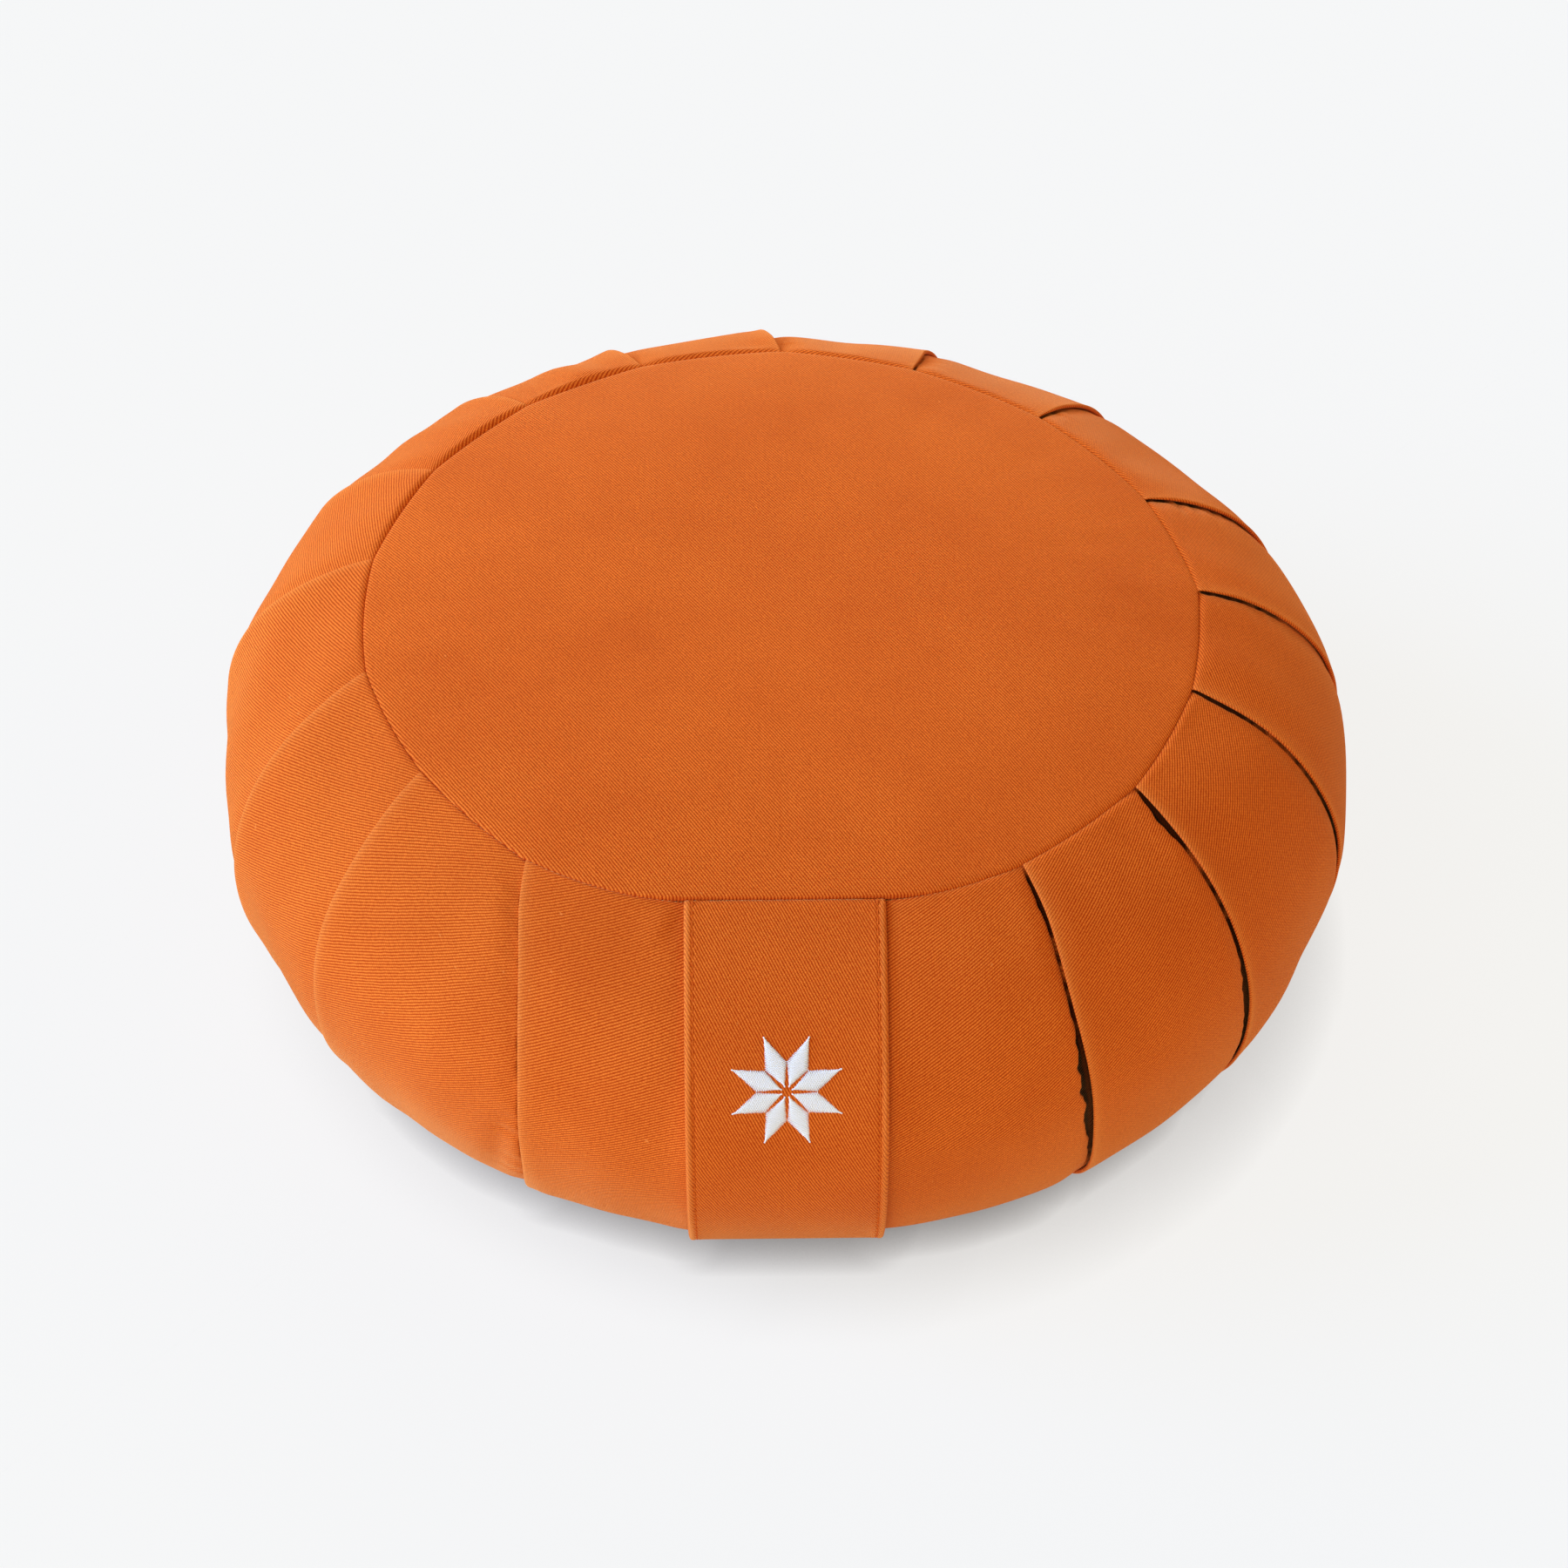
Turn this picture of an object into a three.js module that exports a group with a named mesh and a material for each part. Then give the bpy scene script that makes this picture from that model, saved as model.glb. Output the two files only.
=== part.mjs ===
// Round pleated floor cushion: a crowned top panel, a flat bottom panel, a filled side laid in
// knife pleats, and a straight closing flap over the joint at the front.
// Millimetres, +Z up, origin on the floor under the middle. The front, with the flap, faces -Y.
// Angles run from the front, anticlockwise seen from above.
import * as THREE from 'three';

// Side outline, from the top seam over the belly to the foot seam
const TOP_SEAM_RADIUS = 120;
const TOP_SEAM_HEIGHT = 118.6;
const TOP_SEAM_SLOPE = 16;
const BELLY_RADIUS = 165.5;
const BELLY_HEIGHT = 65;
const FOOT_SEAM_RADIUS = 119.4;
const FOOT_SEAM_HEIGHT = 2.4;
const FOOT_SEAM_SLOPE = 12.5;
const SHOULDER_FULLNESS = 0.38;
const FOOT_FULLNESS = 0.37;
const OVALITY = 1.5;

// Cloth, seams and the clearance between pieces
const CLOTH = 2;
const CLEARANCE = 0.5;
const CROWN = 9;
const SEAM_DEPTH = 2.4;
const RIM_GAP = 1.2;
const RIM_ROUNDING = 0.8;

// Pleats: each fold edge is a rolled lip that overlaps the panel before it
const LIP = 2.2;
const LIP_ROLL = 0.9;
const TUCK_AT_SEAMS = 9;
const TUCK_AT_BELLY = 5;
const TUCK_CLOSES = 0.1;
const PANEL_PUFF = 1;
const PANEL_FALL = 1.4;
const SEAM_FLATTENING = 0.4;
const MOUTH_CHANGES = { from: 0.3, to: 0.7 };

// One row for each pleat: degrees at the top seam, the belly and the foot seam, then how far its
// mouth stands open above and below the belly
const PLEATS = [
  { top: 31.75, belly: 30.4, foot: 32, mouthHigh: 1.1, mouthLow: 2.4 },
  { top: 52.5, belly: 52, foot: 53, mouthHigh: 1.4, mouthLow: 1.8 },
  { top: 73.5, belly: 74, foot: 75, mouthHigh: 1.6, mouthLow: 1.5 },
  { top: 94, belly: 95, foot: 95, mouthHigh: 1.5, mouthLow: 1.4 },
  { top: 115.5, belly: 114.5, foot: 115.5, mouthHigh: 1.3, mouthLow: 1.3 },
  { top: 138, belly: 137.5, foot: 138, mouthHigh: 1.2, mouthLow: 1.4 },
  { top: 159.75, belly: 159, foot: 160, mouthHigh: 1.3, mouthLow: 1.2 },
  { top: 180, belly: 180.5, foot: 180.5, mouthHigh: 1.2, mouthLow: 1.5 },
  { top: 200, belly: 201.5, foot: 201, mouthHigh: 1.1, mouthLow: 1.3 },
  { top: 218.5, belly: 220, foot: 219, mouthHigh: 1.2, mouthLow: 1.2 },
  { top: 237.5, belly: 238, foot: 238, mouthHigh: 1.3, mouthLow: 1.4 },
  { top: 257.5, belly: 258.5, foot: 257.5, mouthHigh: 1.1, mouthLow: 1.2 },
  { top: 281, belly: 286, foot: 283, mouthHigh: 1.2, mouthLow: 1.3 },
  { top: 303.2, belly: 306.2, foot: 303, mouthHigh: 1.1, mouthLow: 1.2 },
  { top: 325, belly: 333.2, foot: 329, mouthHigh: 1.2, mouthLow: 1.3 },
];

// Closing flap: a flat strip that starts just outside the top panel's straight front edge
const FLAP_WIDTH = 52.5;
const FLAP_CLOTH = 2;
const FLAP_HEM = 2.6;
const FLAP_HEM_WIDTH = 5;
const FLAP_TOP_REACH = 117.2;
const FLAP_TOP_HEIGHT = 117.9;
const FLAP_PROUD = 1;
const FLAP_BED_MARGIN = 1.2;
const FLAP_BED_DROP = 1;

// How finely the pieces are divided
const SIDE_STEPS = [
  0, 0.03, 0.065, 0.11, 0.17, 0.23, 0.3, 0.37, 0.435, 0.5,
  0.565, 0.63, 0.7, 0.77, 0.84, 0.905, 0.955, 1,
];
const PANEL_STEPS = [0.14, 0.38, 0.64, 0.88];
const FLAP_SIDE_STEPS = [0.15, 0.45, 0.8];
const BED_STEPS = [-1, -0.5, 0, 0.5, 1];
const CROWN_STEPS = [0.9, 0.65, 0.35];
const PANEL_SEGMENTS = 72;

const radians = THREE.MathUtils.degToRad;
const mix = THREE.MathUtils.lerp;
const smooth = THREE.MathUtils.smoothstep;

// Place of a point at an angle round the cushion, a distance out and a height
function placeAt(angle, radius, height) {
  return new THREE.Vector3(radius * Math.sin(angle), -radius * Math.cos(angle), height);
}

// Two curves for the side seen in section: seam to belly, then belly to foot
function sideCurves(seamRadius, seamHeight, bellyRadius) {
  const fall = radians(TOP_SEAM_SLOPE);
  const rise = radians(FOOT_SEAM_SLOPE);
  const upper = SHOULDER_FULLNESS * Math.hypot(bellyRadius - seamRadius, seamHeight - BELLY_HEIGHT);
  const lower = FOOT_FULLNESS * Math.hypot(bellyRadius - FOOT_SEAM_RADIUS, BELLY_HEIGHT);
  const shoulder = new THREE.CubicBezierCurve(
    new THREE.Vector2(seamRadius, seamHeight),
    new THREE.Vector2(seamRadius + upper * Math.cos(fall), seamHeight - upper * Math.sin(fall)),
    new THREE.Vector2(bellyRadius, BELLY_HEIGHT + upper),
    new THREE.Vector2(bellyRadius, BELLY_HEIGHT),
  );
  const base = new THREE.CubicBezierCurve(
    new THREE.Vector2(bellyRadius, BELLY_HEIGHT),
    new THREE.Vector2(bellyRadius, BELLY_HEIGHT - lower),
    new THREE.Vector2(
      FOOT_SEAM_RADIUS + lower * Math.cos(rise),
      FOOT_SEAM_HEIGHT + lower * Math.sin(rise),
    ),
    new THREE.Vector2(FOOT_SEAM_RADIUS, FOOT_SEAM_HEIGHT),
  );
  return { shoulder, base };
}

// A point of a side section, moved in from the outline by a depth
function sectionPoint(curves, step, depth) {
  const half = step < 0.5 ? curves.shoulder : curves.base;
  const along = step < 0.5 ? step * 2 : step * 2 - 1;
  const point = half.getPoint(along);
  const tangent = half.getTangent(along);
  return new THREE.Vector2(point.x + tangent.y * depth, point.y - tangent.x * depth);
}

const SIDE = sideCurves(TOP_SEAM_RADIUS, TOP_SEAM_HEIGHT, BELLY_RADIUS);
const FLAP = sideCurves(FLAP_TOP_REACH, FLAP_TOP_HEIGHT, BELLY_RADIUS + FLAP_PROUD);

// A value that runs through three others at the top seam, the belly and the foot seam
function throughThree(atTop, atBelly, atFoot, step) {
  const low = (2 * step - 1) * (step - 1) * atTop;
  const middle = 4 * step * (1 - step) * atBelly;
  const high = step * (2 * step - 1) * atFoot;
  return low + middle + high;
}

// One closed surface from rings of equal counts, from a pole below to a pole above
function closeRings(rings, firstPole, lastPole) {
  const count = rings[0].length;
  const points = rings.flat().concat([firstPole, lastPole]);
  const first = rings.length * count;
  const last = first + 1;
  const faces = [];
  for (let j = 0; j < count; j += 1) {
    const next = (j + 1) % count;
    faces.push(first, next, j);
    for (let i = 0; i + 1 < rings.length; i += 1) {
      const here = i * count;
      const above = here + count;
      faces.push(here + j, here + next, above + next);
      faces.push(here + j, above + next, above + j);
    }
    const rim = (rings.length - 1) * count;
    faces.push(rim + j, rim + next, last);
  }
  const geometry = new THREE.BufferGeometry().setFromPoints(points);
  geometry.setIndex(faces);
  geometry.computeVertexNormals();
  return geometry;
}

// A point on the pleated side; the cushion is a little oval, longer on one diagonal
function sidePoint(angle, step, depth) {
  const section = sectionPoint(SIDE, step, depth);
  return placeAt(angle, section.x + OVALITY * Math.sin(2 * angle), section.y);
}

// Angle of a pleat's fold edge at a step down the side
function foldAngle(pleat, step) {
  return radians(throughThree(pleat.top, pleat.belly, pleat.foot, step));
}

// How far a pleat's mouth stands open there
function mouthAt(pleat, step) {
  return mix(pleat.mouthHigh, pleat.mouthLow, smooth(step, MOUTH_CHANGES.from, MOUTH_CHANGES.to));
}

// How far the pleats are folded: not at all in the seams, fully a little way from them
function foldedAt(step) {
  return smooth(Math.min(step, 1 - step), 0, TUCK_CLOSES);
}

// The points that carry one ring through a pleat: under the lip, into the tuck, back and over
function pleatPoints(pleat, step) {
  const angle = foldAngle(pleat, step);
  const mouth = mouthAt(pleat, step);
  const open = foldedAt(step);
  const tuck = mix(TUCK_AT_BELLY, TUCK_AT_SEAMS, Math.abs(2 * step - 1));
  const under = LIP + mouth;
  const folded = [
    { along: -LIP_ROLL, depth: under },
    { along: tuck / 2, depth: under + LIP_ROLL / 2 },
    { along: tuck, depth: under },
    { along: tuck, depth: LIP + mouth / 3 },
    { along: LIP_ROLL, depth: LIP },
    { along: 0, depth: LIP / 2 },
    { along: LIP_ROLL, depth: 0 },
  ];
  const radius = sectionPoint(SIDE, step, 0).x;
  return folded.map((fold, i) => {
    const spread = i / (folded.length - 1);
    const along = mix(mix(-LIP_ROLL, 2 * LIP_ROLL, spread), fold.along, open);
    const pressed = SEAM_FLATTENING * under * (1 - spread);
    const depth = mix(pressed, fold.depth, open);
    return sidePoint(angle + along / radius, step, depth);
  });
}

// Outer points of the panel between two pleats, falling from one lip to the next pleat's tuck
function panelPoints(pleat, nextPleat, step) {
  const start = foldAngle(pleat, step);
  const end = foldAngle(nextPleat, step);
  const open = foldedAt(step);
  const drop = LIP + mouthAt(nextPleat, step);
  return PANEL_STEPS.map((across) => {
    const fall = mix(SEAM_FLATTENING, 1, open) * drop * across ** PANEL_FALL;
    const puff = PANEL_PUFF * open * 4 * across * (1 - across);
    return sidePoint(mix(start, end, across), step, fall - puff);
  });
}

// The flat bed under the flap, in the middle of the panel that holds the joint
function bedPoints(step) {
  const section = sectionPoint(FLAP, step, FLAP_CLOTH + CLEARANCE);
  const half = FLAP_WIDTH / 2 + FLAP_BED_MARGIN;
  return BED_STEPS.map((across) => new THREE.Vector3(across * half, -section.x, section.y));
}

// The front panel: from the last pleat across the flap's bed to the first pleat
function frontPoints(step) {
  const last = PLEATS[PLEATS.length - 1];
  const first = PLEATS[0];
  const bed = bedPoints(step);
  const start = foldAngle(last, step) - 2 * Math.PI;
  const end = foldAngle(first, step);
  const bedStart = Math.atan2(bed[0].x, -bed[0].y);
  const bedEnd = -bedStart;
  const drop = mix(SEAM_FLATTENING, 1, foldedAt(step)) * (LIP + mouthAt(first, step));
  const left = FLAP_SIDE_STEPS.map((across) => {
    return sidePoint(mix(start, bedStart, across), step, FLAP_BED_DROP * across);
  });
  const right = FLAP_SIDE_STEPS.map((across) => {
    return sidePoint(mix(bedEnd, end, across), step, mix(FLAP_BED_DROP, drop, across));
  });
  return left.concat(bed, right);
}

// One ring round the filled side
function sideRing(step) {
  const ring = [];
  PLEATS.forEach((pleat, i) => {
    ring.push(...pleatPoints(pleat, step));
    const isLast = i + 1 === PLEATS.length;
    ring.push(...(isLast ? frontPoints(step) : panelPoints(pleat, PLEATS[i + 1], step)));
  });
  return ring;
}

// Height of the filling under the top panel
function crownHeight(share) {
  return TOP_SEAM_HEIGHT - SEAM_DEPTH + CROWN * (1 - share * share);
}

// The filled side with its pleats: foot, side, seam groove, crown
function pleatedSide() {
  const rings = SIDE_STEPS.map(sideRing).reverse();
  const seam = rings[rings.length - 1];
  const groove = seam.map((point) => {
    const inner = point.clone().multiplyScalar(1 - RIM_GAP / 4 / TOP_SEAM_RADIUS);
    inner.z = Math.min(point.z, crownHeight(1)) - CLEARANCE;
    return inner;
  });
  rings.push(groove);
  CROWN_STEPS.forEach((share) => {
    rings.push(groove.map((point) => {
      const angle = Math.atan2(point.x, -point.y);
      return placeAt(angle, share * Math.hypot(point.x, point.y), crownHeight(share));
    }));
  });
  const foot = new THREE.Vector3(0, 0, FOOT_SEAM_HEIGHT);
  const top = new THREE.Vector3(0, 0, crownHeight(0));
  return closeRings(rings, foot, top);
}

// A ring of the top panel, cut straight at the front where the flap starts
function panelRing(share, lift, trim) {
  const slope = radians(TOP_SEAM_SLOPE);
  const straight = FLAP_TOP_REACH - FLAP_CLOTH * Math.sin(slope) - CLEARANCE - trim;
  const ring = [];
  for (let j = 0; j < PANEL_SEGMENTS; j += 1) {
    const angle = (j / PANEL_SEGMENTS) * 2 * Math.PI;
    const rim = TOP_SEAM_RADIUS - RIM_GAP - trim + OVALITY * Math.sin(2 * angle);
    const toFront = Math.cos(angle) > 0 ? straight / Math.cos(angle) : rim;
    ring.push(placeAt(angle, share * Math.min(rim, toFront), crownHeight(share) + lift));
  }
  return ring;
}

// The crowned top panel
function topPanel() {
  const outward = [...CROWN_STEPS].reverse();
  const rings = outward.map((share) => panelRing(share, CLEARANCE, 0));
  rings.push(panelRing(1, CLEARANCE, 0));
  rings.push(panelRing(1, CLEARANCE + CLOTH - RIM_ROUNDING, 0));
  rings.push(panelRing(1, CLEARANCE + CLOTH, RIM_ROUNDING));
  rings.push(...CROWN_STEPS.map((share) => panelRing(share, CLEARANCE + CLOTH, 0)));
  const under = new THREE.Vector3(0, 0, crownHeight(0) + CLEARANCE);
  const over = new THREE.Vector3(0, 0, crownHeight(0) + CLEARANCE + CLOTH);
  return closeRings(rings, under, over);
}

// The flat bottom panel, with a rounded foot edge
function bottomPanel() {
  const rim = FOOT_SEAM_RADIUS - RIM_GAP;
  const outline = [
    { radius: rim - RIM_ROUNDING, height: 0 },
    { radius: rim, height: RIM_ROUNDING },
    { radius: rim, height: CLOTH },
  ];
  const rings = outline.map(({ radius, height }) => {
    const ring = [];
    for (let j = 0; j < PANEL_SEGMENTS; j += 1) {
      ring.push(placeAt((j / PANEL_SEGMENTS) * 2 * Math.PI, radius, height));
    }
    return ring;
  });
  return closeRings(rings, new THREE.Vector3(0, 0, 0), new THREE.Vector3(0, 0, CLOTH));
}

// The closing flap: sections across the strip, thicker where its side edges are folded in
function closingFlap() {
  const half = FLAP_WIDTH / 2;
  const inner = half - FLAP_HEM_WIDTH;
  const across = [
    { x: -half, proud: 0 },
    { x: -half + RIM_ROUNDING, proud: FLAP_HEM - FLAP_CLOTH },
    { x: -inner, proud: FLAP_HEM - FLAP_CLOTH },
    { x: -inner + RIM_ROUNDING, proud: 0 },
    { x: inner - RIM_ROUNDING, proud: 0 },
    { x: inner, proud: FLAP_HEM - FLAP_CLOTH },
    { x: half - RIM_ROUNDING, proud: FLAP_HEM - FLAP_CLOTH },
    { x: half, proud: 0 },
  ];
  const back = [half, inner, 0, -inner, -half];
  const rings = SIDE_STEPS.map((step) => {
    const under = sectionPoint(FLAP, step, FLAP_CLOTH);
    const face = across.map(({ x, proud }) => {
      const over = sectionPoint(FLAP, step, -proud);
      return new THREE.Vector3(x, -over.x, over.y);
    });
    return face.concat(back.map((x) => new THREE.Vector3(x, -under.x, under.y)));
  }).reverse();
  const endMiddle = (step) => {
    const section = sectionPoint(FLAP, step, FLAP_CLOTH / 2);
    return new THREE.Vector3(0, -section.x, section.y);
  };
  return closeRings(rings, endMiddle(1), endMiddle(0));
}

const CLOTH_COLOUR = 0xd06528;
const CLOTH_ROUGHNESS = 0.9;

function clothPiece(name, geometry) {
  const material = new THREE.MeshStandardMaterial({
    color: CLOTH_COLOUR,
    roughness: CLOTH_ROUGHNESS,
    metalness: 0,
  });
  const mesh = new THREE.Mesh(geometry, material);
  mesh.name = name;
  return mesh;
}

const cushion = new THREE.Group();
cushion.add(clothPiece('pleated_side', pleatedSide()));
cushion.add(clothPiece('top_panel', topPanel()));
cushion.add(clothPiece('bottom_panel', bottomPanel()));
cushion.add(clothPiece('closing_flap', closingFlap()));

export default cushion;
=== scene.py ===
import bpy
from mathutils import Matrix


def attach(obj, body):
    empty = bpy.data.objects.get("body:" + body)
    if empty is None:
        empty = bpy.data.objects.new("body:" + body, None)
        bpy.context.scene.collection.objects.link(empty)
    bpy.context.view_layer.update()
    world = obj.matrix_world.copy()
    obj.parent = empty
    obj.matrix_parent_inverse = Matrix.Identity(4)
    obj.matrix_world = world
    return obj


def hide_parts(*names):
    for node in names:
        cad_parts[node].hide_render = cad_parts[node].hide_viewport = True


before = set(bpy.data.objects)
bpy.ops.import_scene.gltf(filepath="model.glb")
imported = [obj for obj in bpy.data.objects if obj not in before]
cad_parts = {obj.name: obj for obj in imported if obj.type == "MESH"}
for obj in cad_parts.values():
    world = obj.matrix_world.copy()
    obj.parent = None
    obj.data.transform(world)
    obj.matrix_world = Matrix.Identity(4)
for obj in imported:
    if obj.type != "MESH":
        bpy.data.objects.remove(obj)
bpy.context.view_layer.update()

import math

import bpy
import numpy as np
from mathutils import Vector

# Round pleated floor cushion. Sizes are in millimetres, angles in degrees from the front,
# anticlockwise seen from above; meshes are made in metres.
MM = 0.001

# Side outline: top seam, belly, foot seam
TOP_SEAM_RADIUS = 120.0
TOP_SEAM_HEIGHT = 118.6
TOP_SEAM_SLOPE = 16.0
BELLY_RADIUS = 165.5
BELLY_HEIGHT = 65.0
FOOT_SEAM_RADIUS = 119.4
FOOT_SEAM_HEIGHT = 2.4
FOOT_SEAM_SLOPE = 12.5
SHOULDER_FULLNESS = 0.38
FOOT_FULLNESS = 0.37
OVALITY = 1.5

# Seams: the cloth on both sides dips into a narrow groove, and the side puffs up beside it
SEAM_DIP = 0.5
SEAM_DIP_WIDTH = 0.6
SEAM_GAP = 0.3
SEAM_SCALLOP = 0.8
SEAM_SHAPE_FADE = 24.0
SEAM_PUFF = 0.35
BACK_PUFF = 1.1
BACK_PUFF_MIDDLE = 216.0
BACK_PUFF_SPREAD = 36.0
PUFF_RISE = 0.9
PUFF_FADE = 10.0

# Pleats: a rolled lip over the panel before it, which dips to pass below
SLOT = 0.08
TUCK_AT_SEAMS = 12.0
TUCK_AT_BELLY = 8.0
TUCK_SINK = 0.08
LIFT_FADE = 9.0
SHUT_DIP_WIDTH = 6.0
OPEN_DIP_WIDTH = 3.0
OPEN_DIP_SHARE = 0.4
OPEN_DEPTH = 1.1
EDGE_PLACES = (2.4, 1.4, 0.75, 0.35, 0.08)
EDGE_FALLS = (0.0, 0.0, 0.02, 0.1, 0.35)
SEAM_PRESS = 0.5
SEAM_PRESS_WIDTH = 12.0
BULGE_AT_SEAMS = 0.9
FOLD_WANDER = 0.4
MOUTH_SHUT = 0.1
MOUTH_WIDE = 0.55
# Width of the wear and painted highlight along each lip
WEAR_AND_HIGHLIGHT_WIDTH = 1.6
WRINKLE_FADE = 7.0
SEAM_FADE = 5.0
CUT_APART = 71.3
UNEVENNESS = 0.3

# One row for each pleat, in order round the cushion: its angle at the top seam, the belly and the foot
# seam, the seam's reach there, how full the panel after it is, how thick its lip is, how far the lip is
# lifted, and how wide its mouth stands open at the mouth steps, from the top seam down
PLEAT_COLUMNS = ("top", "belly", "foot", "reach", "bulge", "lip", "lift", "mouth")
MOUTH_STEPS = (0.0, 0.07, 0.15, 0.3, 0.43, 0.51, 0.62, 0.76)
SHUT = (0.0,)
PLEAT_ROWS = (
    (31.4, 29.5, 36.0, 121.2, 0.90, 1.1, 0.3, (0.15, 0.9, 0.3, 0.55, 3.0, 2.3, 0.5)),
    (52.3, 50.0, 56.0, 120.8, 0.75, 1.1, 0.3, (0.2, 1.9, 0.3, 0.4, 1.6, 1.5, 0.4)),
    (73.2, 72.4, 74.0, 119.6, 0.85, 1.1, 0.3, (0.3, 0.95, 0.25, 0.35, 0.75, 0.7, 0.3)),
    (93.5, 94.4, 95.0, 120.0, 1.00, 1.2, 0.3, (0.8, 0.5, 0.35)),
    (114.2, 112.8, 115.0, 118.0, 0.55, 1.2, 0.3, (0.5, 0.45, 0.25, 0.1)),
    (138.0, 139.5, 140.0, 117.6, 0.25, 1.3, 0.3, (0.45, 0.35, 0.1)),
    (159.5, 161.5, 162.0, 118.6, 0.50, 1.3, 0.2, (0.3, 0.3, 0.1)),
    (179.4, 184.0, 183.0, 120.8, 0.50, 1.4, 1.5, (0.2, 0.2)),
    (200.0, 201.5, 201.0, 121.0, 0.40, 1.0, 0.8, SHUT),
    (218.5, 220.0, 219.0, 121.5, 0.35, 0.8, 0.4, SHUT),
    (237.8, 240.5, 238.0, 121.0, 0.35, 0.5, 0.3, SHUT),
    (258.5, 262.0, 258.0, 120.4, 0.35, 0.5, 0.2, SHUT),
    (281.8, 288.5, 284.0, 119.7, 0.30, 0.5, 0.2, SHUT),
    (303.3, 307.3, 302.0, 119.0, 0.95, 0.6, 0.2, SHUT),
    (325.1, 333.9, 325.0, 121.8, 0.80, 1.2, 0.4, (0.1, 0.2, 0.28, 0.36, 0.42, 0.44, 0.44)),
)
PLEATS = [dict(zip(PLEAT_COLUMNS, row)) for row in PLEAT_ROWS]
FRONT_BULGE = 1.05

# Wrinkles in the side: angle, distance down from the top seam, length, width, depth (a ridge if
# negative) and tilt from straight down
WRINKLE_COLUMNS = ("angle", "down", "length", "width", "depth", "tilt")
WRINKLE_ROWS = (
    (346.4, 7.0, 10.0, 1.6, 0.55, -10.0),
    (344.2, 8.0, 14.0, 2.4, -0.3, -14.0),
    (331.0, 92.0, 44.0, 4.0, 1.1, -15.0),
    (326.5, 104.0, 40.0, 6.0, -0.5, -18.0),
    (47.0, 14.0, 30.0, 4.5, 0.35, 6.0),
    (42.0, 12.0, 24.0, 4.0, 0.25, -4.0),
    (20.0, 10.0, 22.0, 4.0, 0.2, 6.0),
    (209.0, 16.0, 34.0, 5.0, -0.8, 4.0),
    (205.0, 18.0, 30.0, 4.0, 0.5, 0.0),
    (228.0, 30.0, 40.0, 6.0, -0.6, 6.0),
    (249.0, 18.0, 30.0, 6.0, -0.5, -5.0),
    (268.0, 60.0, 50.0, 8.0, 0.4, 8.0),
    (295.0, 96.0, 50.0, 7.0, 0.5, 12.0),
    (316.0, 112.0, 40.0, 6.0, 0.4, -8.0),
    (64.0, 90.0, 50.0, 8.0, 0.4, -8.0),
    (171.0, 16.0, 26.0, 5.0, 0.5, 0.0),
    (126.0, 20.0, 30.0, 6.0, 0.4, 6.0),
)
WRINKLES = [dict(zip(WRINKLE_COLUMNS, row)) for row in WRINKLE_ROWS]

# Closing flap
FLAP_WIDTH = 53.6
FLAP_MIDDLE = -0.6
FLAP_CLOTH = 2.0
FLAP_TOP_REACH = 115.0
FLAP_TOP_HEIGHT = 118.3
FLAP_PROUD = 1.0
FLAP_BED_GAP = 0.4
FLAP_OVERLAP = 1.5
FLAP_ROWS = (0.7, 0.75, 10.0)
FLAP_UNEVENNESS = 0.22
FLAP_TUCK = 1.3
FLAP_TUCK_WIDTH = 0.8
HEM_STITCH_INSET = 2.3
HEM_RIDGE = 0.12
HEM_EDGE = 0.8
HEM_DROP = 1.2
STITCH_GROOVE = 0.2
STITCH_PUCKER = 0.09
STITCH_START = 1.5
STITCH_END = 158.0
STITCH_SPACING = 2.9
STITCH_LENGTH = 2.3
THREAD_RADIUS = 0.2

# Satin-stitched star on the flap
STAR_DOWN = 53.0
STAR_POINTS = 8
STAR_INNER = 1.6
STAR_OUTER = 15.5
STAR_POINT_WIDTH = 6.4
SATIN_SPACING = 0.42
SATIN_RADIUS = 0.3

# Top panel, and the short cloth simulation that fills it with broad waves and a share of its puckers
CROWN = 9.0
CLOTH = 1.6
PILLOW_RISE = 2.0
FILL_PRESSURE = 4.0
FILL_FRAMES = 45
CLOTH_EASE = 0.004
BROAD_WAVES = 4
PUCKER_SHARE = 0.2

# Weave
TWILL_PITCH = 0.75
SIDE_TWILL_ANGLE = -27.0
TOP_TWILL_ANGLE = 55.0
FLAP_TWILL_ANGLE = 63.0

ROW_NEAR = 0.55
ROW_FAR = 1.5
ROW_CHANGE = 22.0
PANEL_POINTS = 22
random = np.random.default_rng(11)


def smooth(value, low, high):
    """0 below low, 1 above high, an even curve between"""
    t = np.clip((np.asarray(value, float) - low) / (high - low), 0.0, 1.0)
    return t * t * (3.0 - 2.0 * t)


def mix(a, b, share):
    return a + (b - a) * share


def cubic(corners, t):
    """Points and unit tangents of a cubic curve with four corners"""
    p0, p1, p2, p3 = (np.asarray(corner, float) for corner in corners)
    t = np.clip(np.asarray(t, float), 0.0, 1.0)[:, None]
    u = 1.0 - t
    point = u**3 * p0 + 3 * u * u * t * p1 + 3 * u * t * t * p2 + t**3 * p3
    slope = u * u * (p1 - p0) + 2 * u * t * (p2 - p1) + t * t * (p3 - p2)
    return point, slope / np.linalg.norm(slope, axis=1)[:, None]


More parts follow.
